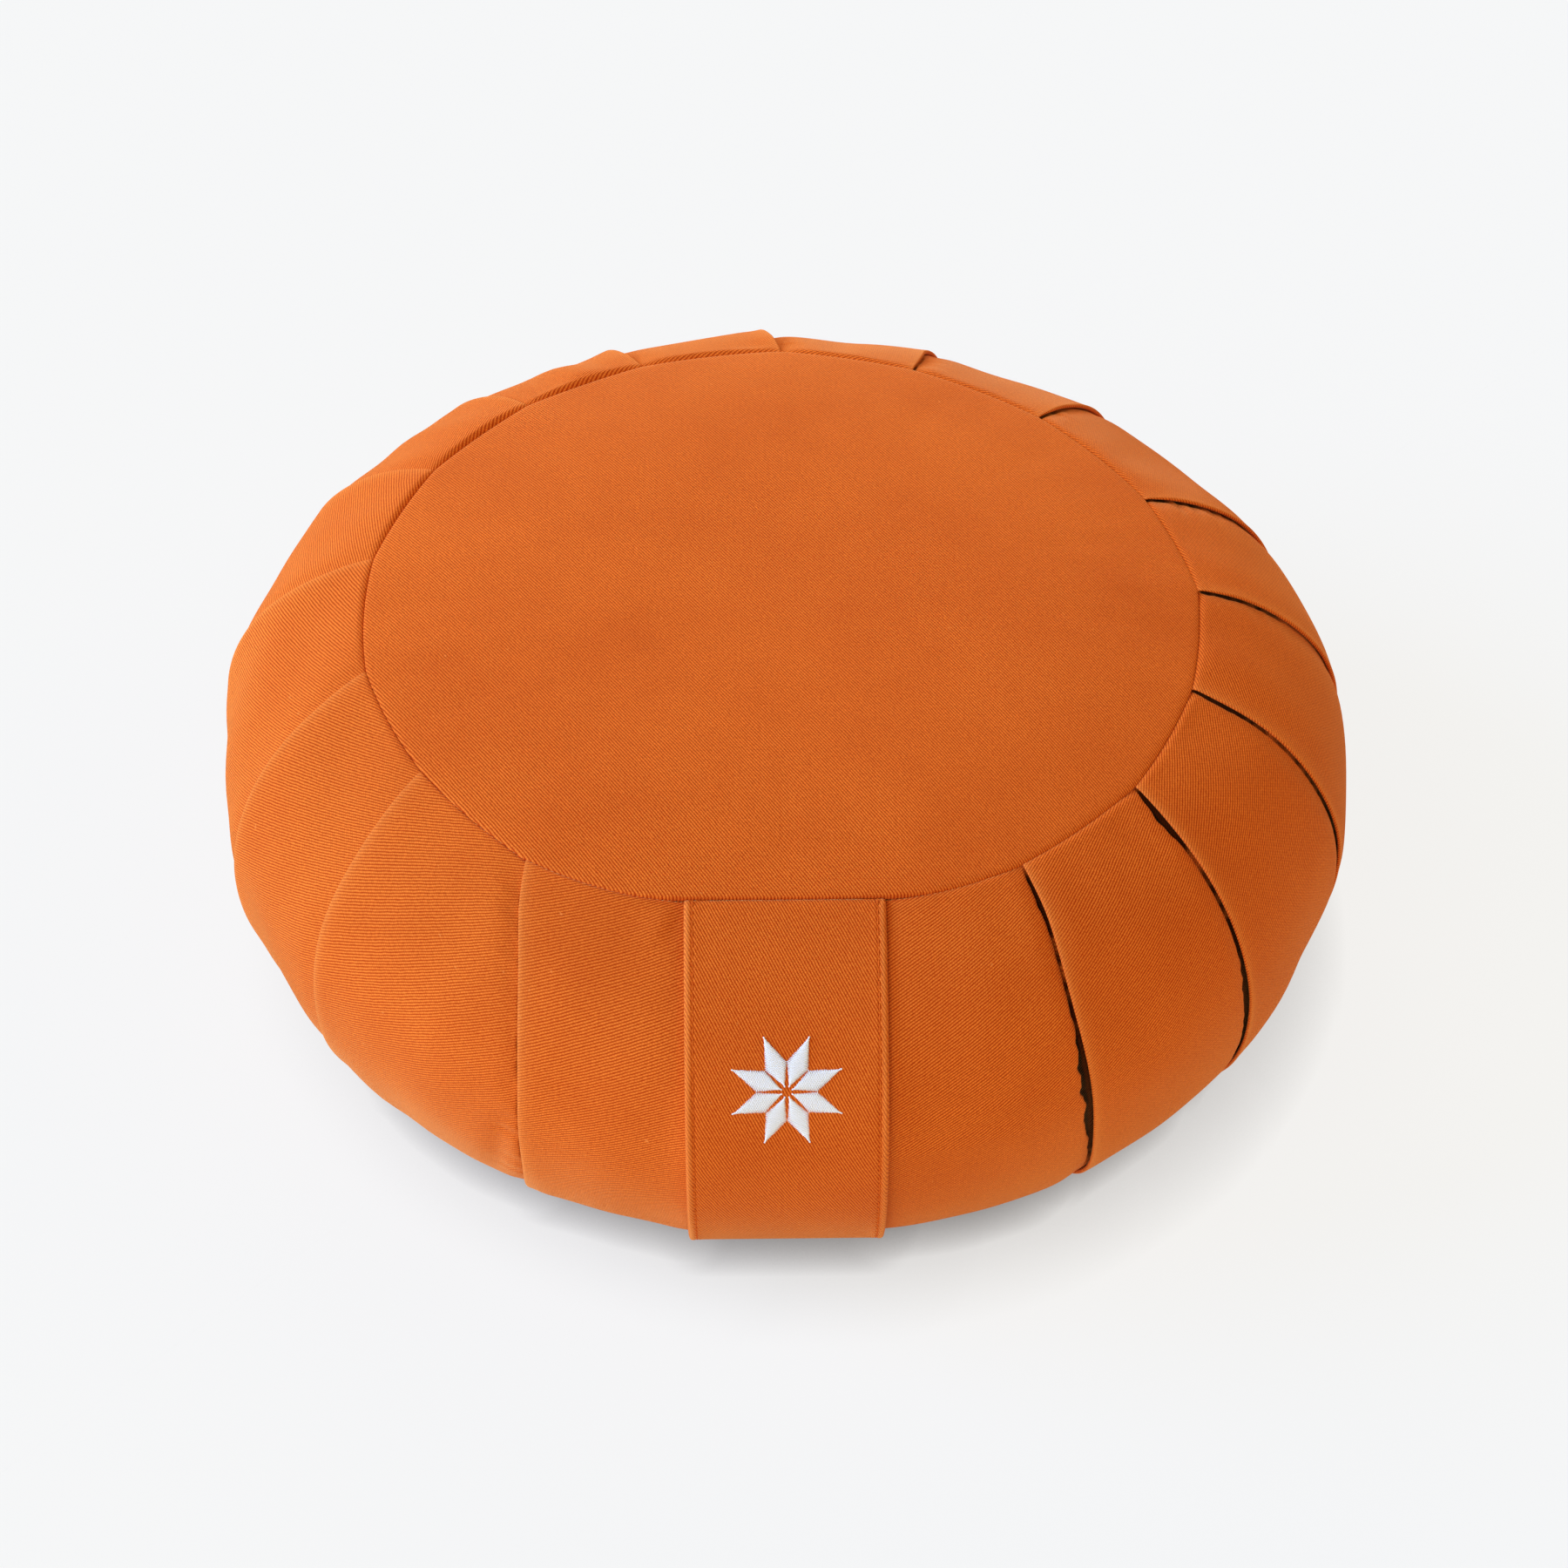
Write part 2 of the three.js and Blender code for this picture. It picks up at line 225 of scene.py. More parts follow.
def side_curves(seam_radius, seam_height, belly_radius):
    """Two curves for the side in section: seam to belly, then belly to foot"""
    fall = math.radians(TOP_SEAM_SLOPE)
    rise = math.radians(FOOT_SEAM_SLOPE)
    upper = SHOULDER_FULLNESS * math.hypot(belly_radius - seam_radius, seam_height - BELLY_HEIGHT)
    lower = FOOT_FULLNESS * math.hypot(belly_radius - FOOT_SEAM_RADIUS, BELLY_HEIGHT)
    shoulder = (
        (seam_radius, seam_height),
        (seam_radius + upper * math.cos(fall), seam_height - upper * math.sin(fall)),
        (belly_radius, BELLY_HEIGHT + upper),
        (belly_radius, BELLY_HEIGHT),
    )
    base = (
        (belly_radius, BELLY_HEIGHT),
        (belly_radius, BELLY_HEIGHT - lower),
        (FOOT_SEAM_RADIUS + lower * math.cos(rise), FOOT_SEAM_HEIGHT + lower * math.sin(rise)),
        (FOOT_SEAM_RADIUS, FOOT_SEAM_HEIGHT),
    )
    return shoulder, base


def section(curves, step):
    """Places and outward normals of a side section at steps from 0, the top, to 1, the foot"""
    step = np.asarray(step, float)
    high, high_tangent = cubic(curves[0], step * 2.0)
    low, low_tangent = cubic(curves[1], step * 2.0 - 1.0)
    above = (step < 0.5)[:, None]
    place = np.where(above, high, low)
    tangent = np.where(above, high_tangent, low_tangent)
    return place, np.stack([-tangent[:, 1], tangent[:, 0]], axis=1)


SIDE = side_curves(TOP_SEAM_RADIUS, TOP_SEAM_HEIGHT, BELLY_RADIUS)
FLAP = side_curves(FLAP_TOP_REACH, FLAP_TOP_HEIGHT, BELLY_RADIUS + FLAP_PROUD)


def steps_down(curves, near, far, change):
    """Steps down a section and their lengths from the top, closer together near both ends"""
    fine = np.linspace(0.0, 1.0, 4001)
    place, _ = section(curves, fine)
    length = np.concatenate([[0.0], np.cumsum(np.linalg.norm(np.diff(place, axis=0), axis=1))])
    total = length[-1]
    stops = [0.0]
    while stops[-1] < total:
        edge = min(stops[-1], total - stops[-1])
        stops.append(stops[-1] + mix(near, far, min(1.0, edge / change)))
    stops = np.array(stops) * (total / stops[-1])
    return np.interp(stops, length, fine), stops


def through_three(at_top, at_belly, at_foot, step):
    """A value that runs through three others at the top seam, the belly and the foot seam"""
    low = (2.0 * step - 1.0) * (step - 1.0) * at_top
    high = step * (2.0 * step - 1.0) * at_foot
    return low + 4.0 * step * (1.0 - step) * at_belly + high


def wander(count, shortest, longest):
    """A soft random wave along a length: wavelengths and starts, for wander_at"""
    return random.uniform(shortest, longest, count), random.uniform(0.0, 2.0 * math.pi, count)


def wander_at(waves, length):
    lengths, starts = waves
    angle = 2.0 * math.pi * np.asarray(length, float)[..., None] / lengths + starts
    return np.sin(angle).sum(axis=-1) / math.sqrt(len(lengths))


def aim(angle, height):
    """Direction from the cushion towards a light or camera"""
    turn, rise = math.radians(angle), math.radians(height)
    return Vector((math.sin(turn) * math.cos(rise), -math.cos(turn) * math.cos(rise), math.sin(rise)))


# Meshes

def new_piece(name, points, faces, uvs=None, wear_light_and_shade=None):
    """A mesh object from points in millimetres, with its cloth coordinates in metres"""
    mesh = bpy.data.meshes.new(name)
    mesh.from_pydata(np.asarray(points) * MM, [], faces)
    if uvs is not None:
        layer = mesh.uv_layers.new(name="cloth")
        layer.data.foreach_set("uv", (np.asarray(uvs, np.float32) * MM).ravel())
    # Colour mark per point: positive where edges are lightened as wear and a painted highlight, negative
    # where shade is painted into open pleat mouths
    if wear_light_and_shade is not None:
        attribute = mesh.attributes.new("wear_light_and_shade", "FLOAT", "POINT")
        attribute.data.foreach_set("value", np.asarray(wear_light_and_shade, np.float32))
    mesh.polygons.foreach_set("use_smooth", [True] * len(mesh.polygons))
    mesh.update()
    piece = bpy.data.objects.new(name, mesh)
    bpy.context.scene.collection.objects.link(piece)
    return piece


def closed_rows(name, rows, poles, across, along, wear_light_and_shade):
    """A closed mesh from rows of points, top row first, with a pole at each end.

    across holds the cloth coordinate at both sides of each column, along that of each row.
    """
    row_count, count = rows.shape[:2]
    points = np.concatenate([rows.reshape(-1, 3), np.asarray(poles, float)])
    top_pole = row_count * count
    foot_pole = top_pole + 1
    index = np.arange(row_count * count).reshape(row_count, count)
    after = np.roll(index, -1, axis=1)
    quads = np.stack([index[:-1], index[1:], after[1:], after[:-1]], axis=-1).reshape(-1, 4)
    left, right = across
    down = np.repeat(along[:, None], count, axis=1)
    quad_u = np.stack([left[:-1], left[1:], right[1:], right[:-1]], axis=-1).reshape(-1)
    quad_v = np.stack([down[:-1], down[1:], down[1:], down[:-1]], axis=-1).reshape(-1)
    top = np.stack([np.full(count, top_pole), index[0], after[0]], axis=1)
    foot = np.stack([np.full(count, foot_pole), after[-1], index[-1]], axis=1)
    faces = quads.tolist() + top.tolist() + foot.tolist()
    cap_u = np.concatenate([
        np.stack([left[0], left[0], right[0]], axis=1).ravel(),
        np.stack([left[-1], right[-1], left[-1]], axis=1).ravel(),
    ])
    cap_v = np.repeat([along[0], along[-1]], 3 * count)
    uvs = np.stack([np.concatenate([quad_u, cap_u]), np.concatenate([quad_v, cap_v])], axis=1)
    wear_light_and_shade = np.concatenate([wear_light_and_shade.ravel(), [0.0, 0.0]])
    return new_piece(name, points, faces, uvs, wear_light_and_shade)


# Pleated side

PLEAT_TOPS = np.radians([pleat["top"] for pleat in PLEATS])
SEAM_ANGLES = np.concatenate([[PLEAT_TOPS[-1] - 2 * math.pi], PLEAT_TOPS, [PLEAT_TOPS[0] + 2 * math.pi]])
SEAM_REACHES = [PLEATS[-1]["reach"]] + [pleat["reach"] for pleat in PLEATS] + [PLEATS[0]["reach"]]


def seam_reach(angle):
    """Reach of the top seam at an angle in radians: drawn in between two pleats"""
    turn = np.mod(angle, 2 * math.pi)
    between = np.interp(turn, SEAM_ANGLES, np.arange(len(SEAM_ANGLES)))
    across = between - np.floor(between)
    return np.interp(turn, SEAM_ANGLES, SEAM_REACHES) - SEAM_SCALLOP * 4.0 * across * (1.0 - across)


def softened(values, width):
    """The same values with their corners rounded"""
    kernel = np.hanning(width)
    return np.convolve(np.pad(values, width // 2, mode="edge"), kernel / kernel.sum(), mode="valid")


# Rows that close the side inside its seams: move out and up from the seam, and share of the fold left
HIDDEN_ABOVE = (
    (-60.0, -5.0, 0.0), (-10.0, -5.0, 0.0), (-5.0, -4.2, 0.4), (-1.4, -3.0, 1.0), (-0.5, -1.2, 1.0),
)
HIDDEN_BELOW = (
    (-0.3, 0.6, 1.0), (-1.0, 1.4, 1.0), (-5.0, 2.2, 0.4), (-10.0, 2.4, 0.0), (-60.0, 2.4, 0.0),
)


def side_rows():
    """Rows down the side with the hidden rows that close it inside both seams"""
    step, length = steps_down(SIDE, ROW_NEAR, ROW_FAR, ROW_CHANGE)
    place, normal = section(SIDE, step)
    above = np.array([place[0] + move[:2] for move in HIDDEN_ABOVE])
    below = np.array([place[-1] + move[:2] for move in HIDDEN_BELOW])
    inside_top = np.repeat(normal[:1], len(above), axis=0)
    inside_foot = np.repeat(normal[-1:], len(below), axis=0)
    rows = {
        "place": np.concatenate([above, place, below]),
        "normal": np.concatenate([inside_top, normal, inside_foot]),
        "step": np.concatenate([np.zeros(len(above)), step, np.ones(len(below))]),
        "down": np.concatenate([np.zeros(len(above)), length, np.full(len(below), length[-1])]),
        "folded": np.concatenate([
            [move[2] for move in HIDDEN_ABOVE], np.ones(len(step)), [move[2] for move in HIDDEN_BELOW],
        ]),
    }
    reach_in = np.linalg.norm(above - place[0], axis=1)
    reach_under = np.linalg.norm(below - place[-1], axis=1)
    rows["run"] = np.concatenate([-reach_in, length, length[-1] + reach_under])
    rows["radius"] = section(SIDE, rows["step"])[0][:, 0]
    rows["up"] = length[-1] - rows["down"]
    rows["seam_share"] = np.exp(-((rows["down"] / SEAM_SHAPE_FADE) ** 2))
    rows["foot_share"] = np.exp(-((rows["up"] / SEAM_SHAPE_FADE) ** 2))
    return rows


def side_surface(rows, angle, out):
    """Points of the side at angles and distances out, one line for each row"""
    share = rows["seam_share"][:, None]
    belly_share = (1.0 - share) * (1.0 - rows["foot_share"][:, None])
    shape = (seam_reach(angle) - TOP_SEAM_RADIUS) * share + OVALITY * np.sin(2.0 * angle) * belly_share
    reach = rows["place"][:, :1] + rows["normal"][:, :1] * out + shape
    height = rows["place"][:, 1:] + rows["normal"][:, 1:] * out
    return np.stack([reach * np.sin(angle), -reach * np.cos(angle), height], axis=-1)


def fold_angles(rows):
    """Angle of every pleat's fold edge at every row, in radians"""
    step = rows["step"]
    settled = smooth(np.minimum(step, 1.0 - step), 0.0, 0.12) / rows["radius"]
    angles = []
    for pleat in PLEATS:
        even = np.radians(through_three(pleat["top"], pleat["belly"], pleat["foot"], step))
        angles.append(even + FOLD_WANDER * wander_at(wander(3, 35.0, 110.0), rows["down"]) * settled)
    return np.array(angles)


def mouth(pleat, rows):
    """How far a pleat's mouth stands open at every row: wide and ragged where it gapes"""
    openings = np.zeros(len(MOUTH_STEPS))
    openings[: len(pleat["mouth"])] = pleat["mouth"]
    opened = softened(np.interp(rows["step"], MOUTH_STEPS, openings), 9)
    ragged = 1.0 + 0.25 * wander_at(wander(4, 9.0, 40.0), rows["down"])
    ragged += 0.25 * wander_at(wander(5, 3.5, 9.0), rows["down"])
    return 0.02 + opened * np.clip(ragged, 0.25, 1.9)


def gaping(opening):
    """1 where a mouth is open enough to look into, 0 where it is shut"""
    return smooth(opening, MOUTH_SHUT, MOUTH_WIDE)


# Colour mark for each column of a lip section: negative values paint shade into the tucked cloth and the
# nose's lower half where the mouth gapes, positive values lighten the nose's top as wear and a painted
# highlight
LIP_WEAR_LIGHT_AND_SHADE = np.concatenate([
    np.linspace(-0.8, -1.0, 4), np.full(6, -1.0), [-1.0, -0.85, -0.55, -0.2, 0.1, 0.5, 0.8, 1.0],
])
LIP_SPREAD = np.linspace(-1.0, 1.0, len(LIP_WEAR_LIGHT_AND_SHADE))
LIP_HIDDEN = np.arange(len(LIP_WEAR_LIGHT_AND_SHADE)) < 10


def lip_section(lip, lift, depth, tuck):
    """A pleat in section at every row: distances along the ring and out, column by column"""
    half = lip / 2.0
    along = []
    out = []
    for share in (0.0, 0.25, 0.5, 0.8, 1.0):
        along.append(share * tuck)
        out.append(-mix(depth, lip + SLOT, share))
    along.append(tuck + SLOT)
    out.append(-(lip + SLOT / 2.0))
    for share in (1.0, 0.8, 0.5, 0.25):
        distance = mix(half, tuck, share)
        along.append(distance)
        out.append(-lip + lift * np.exp(-distance / LIFT_FADE))
    for share in np.linspace(0.0, 1.0, 8):
        turn = -math.pi / 2 - math.pi * share
        along.append(half + half * math.cos(turn))
        out.append(-half + lift + half * math.sin(turn))
    return np.array(along).T, np.array(out).T


def panel_shares(count):
    """Places across a panel, from its lip to the next pleat, closer together at both ends"""
    even = (np.arange(count) + 1.0) / (count + 1.0)
    return even - 0.09 * np.sin(2.0 * math.pi * even)


PANEL_SHARES = panel_shares(PANEL_POINTS)
PANEL_COLUMNS = PANEL_POINTS + len(EDGE_PLACES) + 1
PANEL_FALLS = np.concatenate([np.zeros(PANEL_POINTS), EDGE_FALLS, [1.0]])
UNEVEN_WAVES = [
    (random.uniform(0.0, math.pi), random.uniform(20.0, 75.0), random.uniform(0.0, 2 * math.pi))
    for _ in range(12)
]


def wrinkled(rows, angle):
    """How far wrinkles and uneven filling move the side in or out"""
    around = angle * BELLY_RADIUS
    down = rows["down"][:, None]
    moved = np.zeros(angle.shape)
    for way, wave, start in UNEVEN_WAVES:
        moved += np.sin(2 * math.pi * (around * math.cos(way) + down * math.sin(way)) / wave + start)
    moved *= UNEVENNESS / math.sqrt(len(UNEVEN_WAVES))
    for wrinkle in WRINKLES:
        apart = np.mod(angle - math.radians(wrinkle["angle"]) + math.pi, 2 * math.pi) - math.pi
        sideways = apart * rows["radius"][:, None]
        below = down - wrinkle["down"]
        tilt = math.radians(wrinkle["tilt"])
        across = sideways * math.cos(tilt) - below * math.sin(tilt)
        along = sideways * math.sin(tilt) + below * math.cos(tilt)
        shape = np.exp(-((across / wrinkle["width"]) ** 2) - (2.0 * along / wrinkle["length"]) ** 4)
        moved -= wrinkle["depth"] * shape
    return moved


def fullness(rows, turn, bulge, shares):
    """How far out of the even round a panel stands, or how far it sags in, at shares of its way across"""
    bulge = mix(BULGE_AT_SEAMS, bulge, smooth(rows["step"], 0.0, 0.16))
    sag = rows["radius"] * (1.0 - np.cos(turn / 2.0))
    return ((bulge - 1.0) * sag)[:, None] * np.clip(4.0 * shares * (1.0 - shares), 0.0, 1.0)


def side_panel(rows, start, end, bulge, lift, dip, opening):
    """The cloth between a lip and the next pleat: angles, distances out, wear with painted highlight and
    painted shade, and shares of the way
    """
    width = ((end - start) * rows["radius"])[:, None]
    edge = opening[:, None] + np.array(EDGE_PLACES)[None, :]
    across = mix(width, edge[:, :1] + 1.2, PANEL_SHARES[None, :])
    ahead = np.concatenate([across, edge, 0.8 * opening[:, None]], axis=1)
    behind = width - ahead
    shares = behind / width
    angle = start[:, None] + shares * (end - start)[:, None]
    hump = np.clip(4.0 * shares * (1.0 - shares), 0.0, 1.0)
    out = fullness(rows, end - start, bulge, shares)
    out = out + lift[:, None] * np.exp(-behind / LIFT_FADE)
    open_share = gaping(opening)[:, None]
    soft = dip[:, None] * mix(1.0, OPEN_DIP_SHARE, open_share)
    dip_width = mix(SHUT_DIP_WIDTH, OPEN_DIP_WIDTH, open_share)
    out = out - soft * np.exp(-((ahead / dip_width) ** 2)) - (dip[:, None] - soft) * PANEL_FALLS
    back = np.exp(-(((np.degrees(angle) - BACK_PUFF_MIDDLE) / BACK_PUFF_SPREAD) ** 2))
    puffed = (1.0 - np.exp(-((rows["down"] / PUFF_RISE) ** 2))) * np.exp(-rows["down"] / PUFF_FADE)
    out = out + (SEAM_PUFF + BACK_PUFF * back) * hump**0.7 * puffed[:, None]
    seams = smooth(np.minimum(rows["down"], rows["up"]), 0.0, SEAM_FADE)[:, None]
    out = out + wrinkled(rows, angle) * smooth(np.minimum(behind, ahead), 0.0, WRINKLE_FADE) * seams
    # Lightened near the lip as wear and a painted highlight; the last column, down in an open mouth, gets
    # painted shade
    wear_and_painted_light = np.exp(-behind / WEAR_AND_HIGHLIGHT_WIDTH)
    wear_and_painted_light[:, -1:] = -open_share
    return angle, out, wear_and_painted_light, shares


def flap_bed(rows):
    """The strip of side cloth behind the closing flap, column by column"""
    place, normal = section(FLAP, rows["step"])
    bed = place - normal * (FLAP_CLOTH + FLAP_BED_GAP)
    bed = bed + rows["place"] - section(SIDE, rows["step"])[0]
    x = FLAP_MIDDLE + np.linspace(-1.0, 1.0, 9) * (FLAP_WIDTH / 2.0 - FLAP_OVERLAP)
    columns = np.broadcast_to(x, (len(bed), len(x)))
    depth = np.broadcast_to(-bed[:, :1], columns.shape)
    height = np.broadcast_to(bed[:, 1:], columns.shape)
    return np.stack([columns, depth, height], axis=-1)


def pleated_side():
    rows = side_rows()
    folds = fold_angles(rows)
    edge = np.minimum(rows["down"], rows["up"])
    press = mix(SEAM_PRESS, 1.0, smooth(edge, 0.0, SEAM_PRESS_WIDTH))
    tuck = mix(TUCK_AT_BELLY, TUCK_AT_SEAMS, np.abs(2.0 * rows["step"] - 1.0))
    seam_dip = (SEAM_DIP * np.exp(-edge / SEAM_DIP_WIDTH))[:, None]
    nothing = np.zeros(len(edge))
    bed = flap_bed(rows)
    bed_start = np.arctan2(bed[:, 0, 0], -bed[:, 0, 1]) + 2 * math.pi
    bed_end = np.arctan2(bed[:, -1, 0], -bed[:, -1, 1])
    sections = []
    ends = [*folds[1:], bed_start]
    for i, pleat in enumerate(PLEATS):
        lip = pleat["lip"] * press
        lift = pleat["lift"] * smooth(edge, 0.0, 12.0)
        opening = mouth(pleat, rows)
        depth = lip + SLOT + OPEN_DEPTH * gaping(opening)
        along, out = lip_section(lip, lift, depth, tuck)
        turn = ends[i] - folds[i]
        sunk = fullness(rows, turn, pleat["bulge"], along / (turn * rows["radius"])[:, None])
        out = out + np.where(LIP_HIDDEN, np.minimum(sunk, 0.0) - TUCK_SINK * along, 0.0)
        along = mix(np.broadcast_to(LIP_SPREAD, along.shape), along, rows["folded"][:, None])
        sections.append({
            "lip_angle": folds[i][:, None] + along / rows["radius"][:, None],
            "lip_out": out,
            "start": folds[i] + along[:, -1] / rows["radius"],
            "bulge": pleat["bulge"],
            "lift": lift,
            "dip": depth,
            "opening": opening,
            # Painted shade only where the mouth gapes; the painted highlight on the nose stays
            "wear_light_and_shade": np.where(LIP_WEAR_LIGHT_AND_SHADE < 0.0, LIP_WEAR_LIGHT_AND_SHADE * gaping(opening)[:, None], LIP_WEAR_LIGHT_AND_SHADE),
        })

    parts = []
    wear_light_and_shades = []
    owners = []
    middles = []

    def add(points, wear_light_and_shade, owner):
        parts.append(points)
        wear_light_and_shades.append(np.broadcast_to(wear_light_and_shade, points.shape[:2]))
        owners.extend(owner)

    def add_panel(owner, start, end, bulge, lift, after=None, pulled_end=None, pulled_start=None):
        dip = nothing if after is None else after["dip"]
        opening = nothing if after is None else after["opening"]
        angle, out, wear_light_and_shade, shares = side_panel(rows, start, end, bulge, lift, dip, opening)
        points = side_surface(rows, angle, out - seam_dip)
        for target, at, pull in (
            (pulled_end, end, shares**3), (pulled_start, start, (1.0 - shares) ** 3),
        ):
            if target is not None:
                gap = target - side_surface(rows, at[:, None], -seam_dip)[:, 0]
                points = points + gap[:, None, :] * pull[:, :, None]
        middles.append(len(owners) + PANEL_POINTS // 2)
        add(points, wear_light_and_shade, [owner] * PANEL_COLUMNS)

    last = len(PLEATS) - 1
    for i, pleat in enumerate(sections):
        points = side_surface(rows, pleat["lip_angle"], pleat["lip_out"] - seam_dip)
        before = last + 1 if i == 0 else i - 1
        add(points, pleat["wear_light_and_shade"], [before] * 6 + [i] * (points.shape[1] - 6))
        if i < last:
            add_panel(i, pleat["start"], folds[i + 1], pleat["bulge"], pleat["lift"], sections[i + 1])
    final = sections[last]
    add_panel(last, final["start"], bed_start, final["bulge"], final["lift"], pulled_end=bed[:, 0])
    add(bed, 0.0, [last] * bed.shape[1])
    add_panel(last + 1, bed_end, folds[0], FRONT_BULGE, nothing, sections[0], pulled_start=bed[:, -1])

    points = np.concatenate(parts, axis=1)
    wear_light_and_shade = np.concatenate(wear_light_and_shades, axis=1)
    owners = np.array(owners)
    ring = np.concatenate([points, points[:, :1]], axis=1)
    run = np.cumsum(np.linalg.norm(np.diff(ring, axis=1), axis=2), axis=1)
    run = np.concatenate([np.zeros((len(run), 1)), run], axis=1)
    zero = run[:, np.array(middles)[owners]]
    left = run[:, :-1] - zero + CUT_APART * owners
    right = run[:, 1:] - zero + CUT_APART * owners
    poles = [(0.0, 0.0, rows["place"][0, 1]), (0.0, 0.0, rows["place"][-1, 1])]
    return closed_rows("pleated_side_cloth", points, poles, (left, right), -rows["run"], wear_light_and_shade)


# Top and bottom panels

def panel_rim(angle):
    """Reach of the top panel at an angle: along the seam, straight over the flap"""
    rim = seam_reach(angle) - SEAM_GAP
    straight = (FLAP_TOP_REACH - SEAM_GAP) / np.clip(np.cos(angle), 1e-3, None)
    sharp = 70.0
    return (rim**-sharp + straight**-sharp) ** (-1.0 / sharp)


def rows_round(rings, angle):
    """Rows of points round the middle, from the reach and height of each ring"""
    level = np.ones(len(angle))
    return np.array([
        np.stack([reach * np.sin(angle), -reach * np.cos(angle), height * level], axis=1)
        for reach, height in rings
    ])


def filled_crown(angle):
    """How the filling shapes the top panel: two numbers for each angle, for crown_height.

    A flat pillow with the panel's outline is blown up as cloth while its seam is held.
    """
    rim = panel_rim(angle)
    shares = np.linspace(0.05, 1.0, 20)
    over = [(share * rim, PILLOW_RISE * (1.0 - share**2)) for share in shares]
    under = [(reach, -height) for reach, height in over[-2::-1]]
    rows = rows_round(over + under, angle)
    pillow = panel_piece("crown_pillow", rows, [(0, 0, PILLOW_RISE), (0, 0, -PILLOW_RISE)])
    first = (len(over) - 1) * len(angle)
    seam = pillow.vertex_groups.new(name="seam")
    seam.add(list(range(first, first + len(angle))), 1.0, "REPLACE")
    cloth = pillow.modifiers.new("cloth", "CLOTH")
    cloth.settings.quality = 6
    cloth.settings.air_damping = 4.0
    cloth.settings.use_pressure = True
    cloth.settings.uniform_pressure_force = FILL_PRESSURE
    cloth.settings.vertex_group_mass = "seam"
    cloth.settings.shrink_min = -CLOTH_EASE
    cloth.settings.effector_weights.gravity = 0.0
    cloth.point_cache.frame_end = FILL_FRAMES
    for number in range(1, FILL_FRAMES + 1):
        bpy.context.scene.frame_set(number)
    seen = pillow.evaluated_get(bpy.context.evaluated_depsgraph_get())
    place = np.empty(len(seen.data.vertices) * 3)
    seen.data.vertices.foreach_get("co", place)
    height = place[2::3][: len(over) * len(angle)].reshape(len(over), len(angle))
    pillow.modifiers.clear()
    bpy.data.objects.remove(pillow)
    bpy.context.scene.frame_set(1)
    height = height * CROWN / height[0].mean()
    fall = 1.0 - shares**2
    terms = np.stack([fall * shares**2, fall * shares**4], axis=1)
    bends = np.linalg.lstsq(terms, height - CROWN * fall[:, None], rcond=None)[0]
    waves = np.fft.rfft(bends, axis=1)
    waves[:, BROAD_WAVES:] *= PUCKER_SHARE
    return np.fft.irfft(waves, n=len(angle), axis=1)


def crown_height(share, bends):
    """Height of the top panel over its seam at a share of the way from the crown to the seam"""
    return (1.0 - share**2) * (CROWN + bends[0] * share**2 + bends[1] * share**4)


def crowned_panel():
    count = 300
    angle = np.linspace(0.0, 2.0 * math.pi, count, endpoint=False)
    rim = panel_rim(angle)
    coarse = angle[::3]
    bends = [np.interp(angle, coarse, bend, period=2.0 * math.pi) for bend in filled_crown(coarse)]
    inner = np.concatenate([
        np.linspace(0.03, 0.9, 30), np.linspace(0.915, 0.985, 12), np.linspace(0.988, 1.0, 8),
    ])
    rings = []
    for share in inner:
        reach = share * rim
        dip = SEAM_DIP * np.exp(-(rim - reach) / SEAM_DIP_WIDTH)
        rings.append((reach, TOP_SEAM_HEIGHT + crown_height(share, bends) - dip))
    for inset, fall in ((0.05, 1.8), (0.5, 3.0)):
        rings.append((rim - inset, TOP_SEAM_HEIGHT - fall))
    for share in (0.92, 0.6, 0.25):
        rings.append((share * rim, TOP_SEAM_HEIGHT + crown_height(share, bends) - CLOTH - 0.4))
    rows = rows_round(rings, angle)
    poles = [(0, 0, TOP_SEAM_HEIGHT + CROWN), (0, 0, TOP_SEAM_HEIGHT + CROWN - CLOTH)]
    return panel_piece("top_panel_cloth", rows, poles)


def panel_piece(name, rows, poles):
    """A round panel from rings, with flat cloth coordinates"""
    row_count, count = rows.shape[:2]
    piece = closed_rows(
        name, rows, poles, (np.zeros((row_count, count)), np.zeros((row_count, count))),
        np.zeros(row_count), np.zeros((row_count, count)),
    )
    mesh = piece.data
    corner = np.empty(len(mesh.loops), np.int32)
    mesh.loops.foreach_get("vertex_index", corner)
    place = np.empty(len(mesh.vertices) * 3, np.float32)
    mesh.vertices.foreach_get("co", place)
    place = place.reshape(-1, 3)[corner, :2]
    mesh.uv_layers["cloth"].data.foreach_set("uv", place.ravel())
    return piece


def flat_panel():
    count = 180
    angle = np.linspace(0.0, 2.0 * math.pi, count, endpoint=False)
    rim = FOOT_SEAM_RADIUS - SEAM_GAP
    rings = [(share * rim, CLOTH) for share in (0.3, 0.7, 0.96)]
    rings += [(rim - 0.3, CLOTH), (rim, CLOTH * 0.6), (rim - 0.4, 0.2), (rim - 1.2, 0.0)]
    rings += [(share * rim, 0.0) for share in (0.95, 0.8, 0.6, 0.4, 0.2)]
    rows = rows_round(rings, angle)
    return panel_piece("bottom_panel_cloth", rows, [(0, 0, CLOTH), (0, 0, 0)])


# Closing flap

def flap_relief(x):
    """How far the flap's face stands out at a distance from its middle line: folded hems, stitched lines"""
    inset = FLAP_WIDTH / 2.0 - np.abs(x)
    edge = np.sqrt(np.clip(1.0 - (1.0 - np.clip(inset / HEM_EDGE, 0.0, 1.0)) ** 2, 0.0, 1.0))
    ridge = HEM_RIDGE * np.exp(-(((inset - 1.1) / 0.7) ** 2))
    groove = STITCH_GROOVE * np.exp(-(((inset - HEM_STITCH_INSET) / 0.4) ** 2))
    return ridge - groove - (1.0 - edge) * HEM_DROP


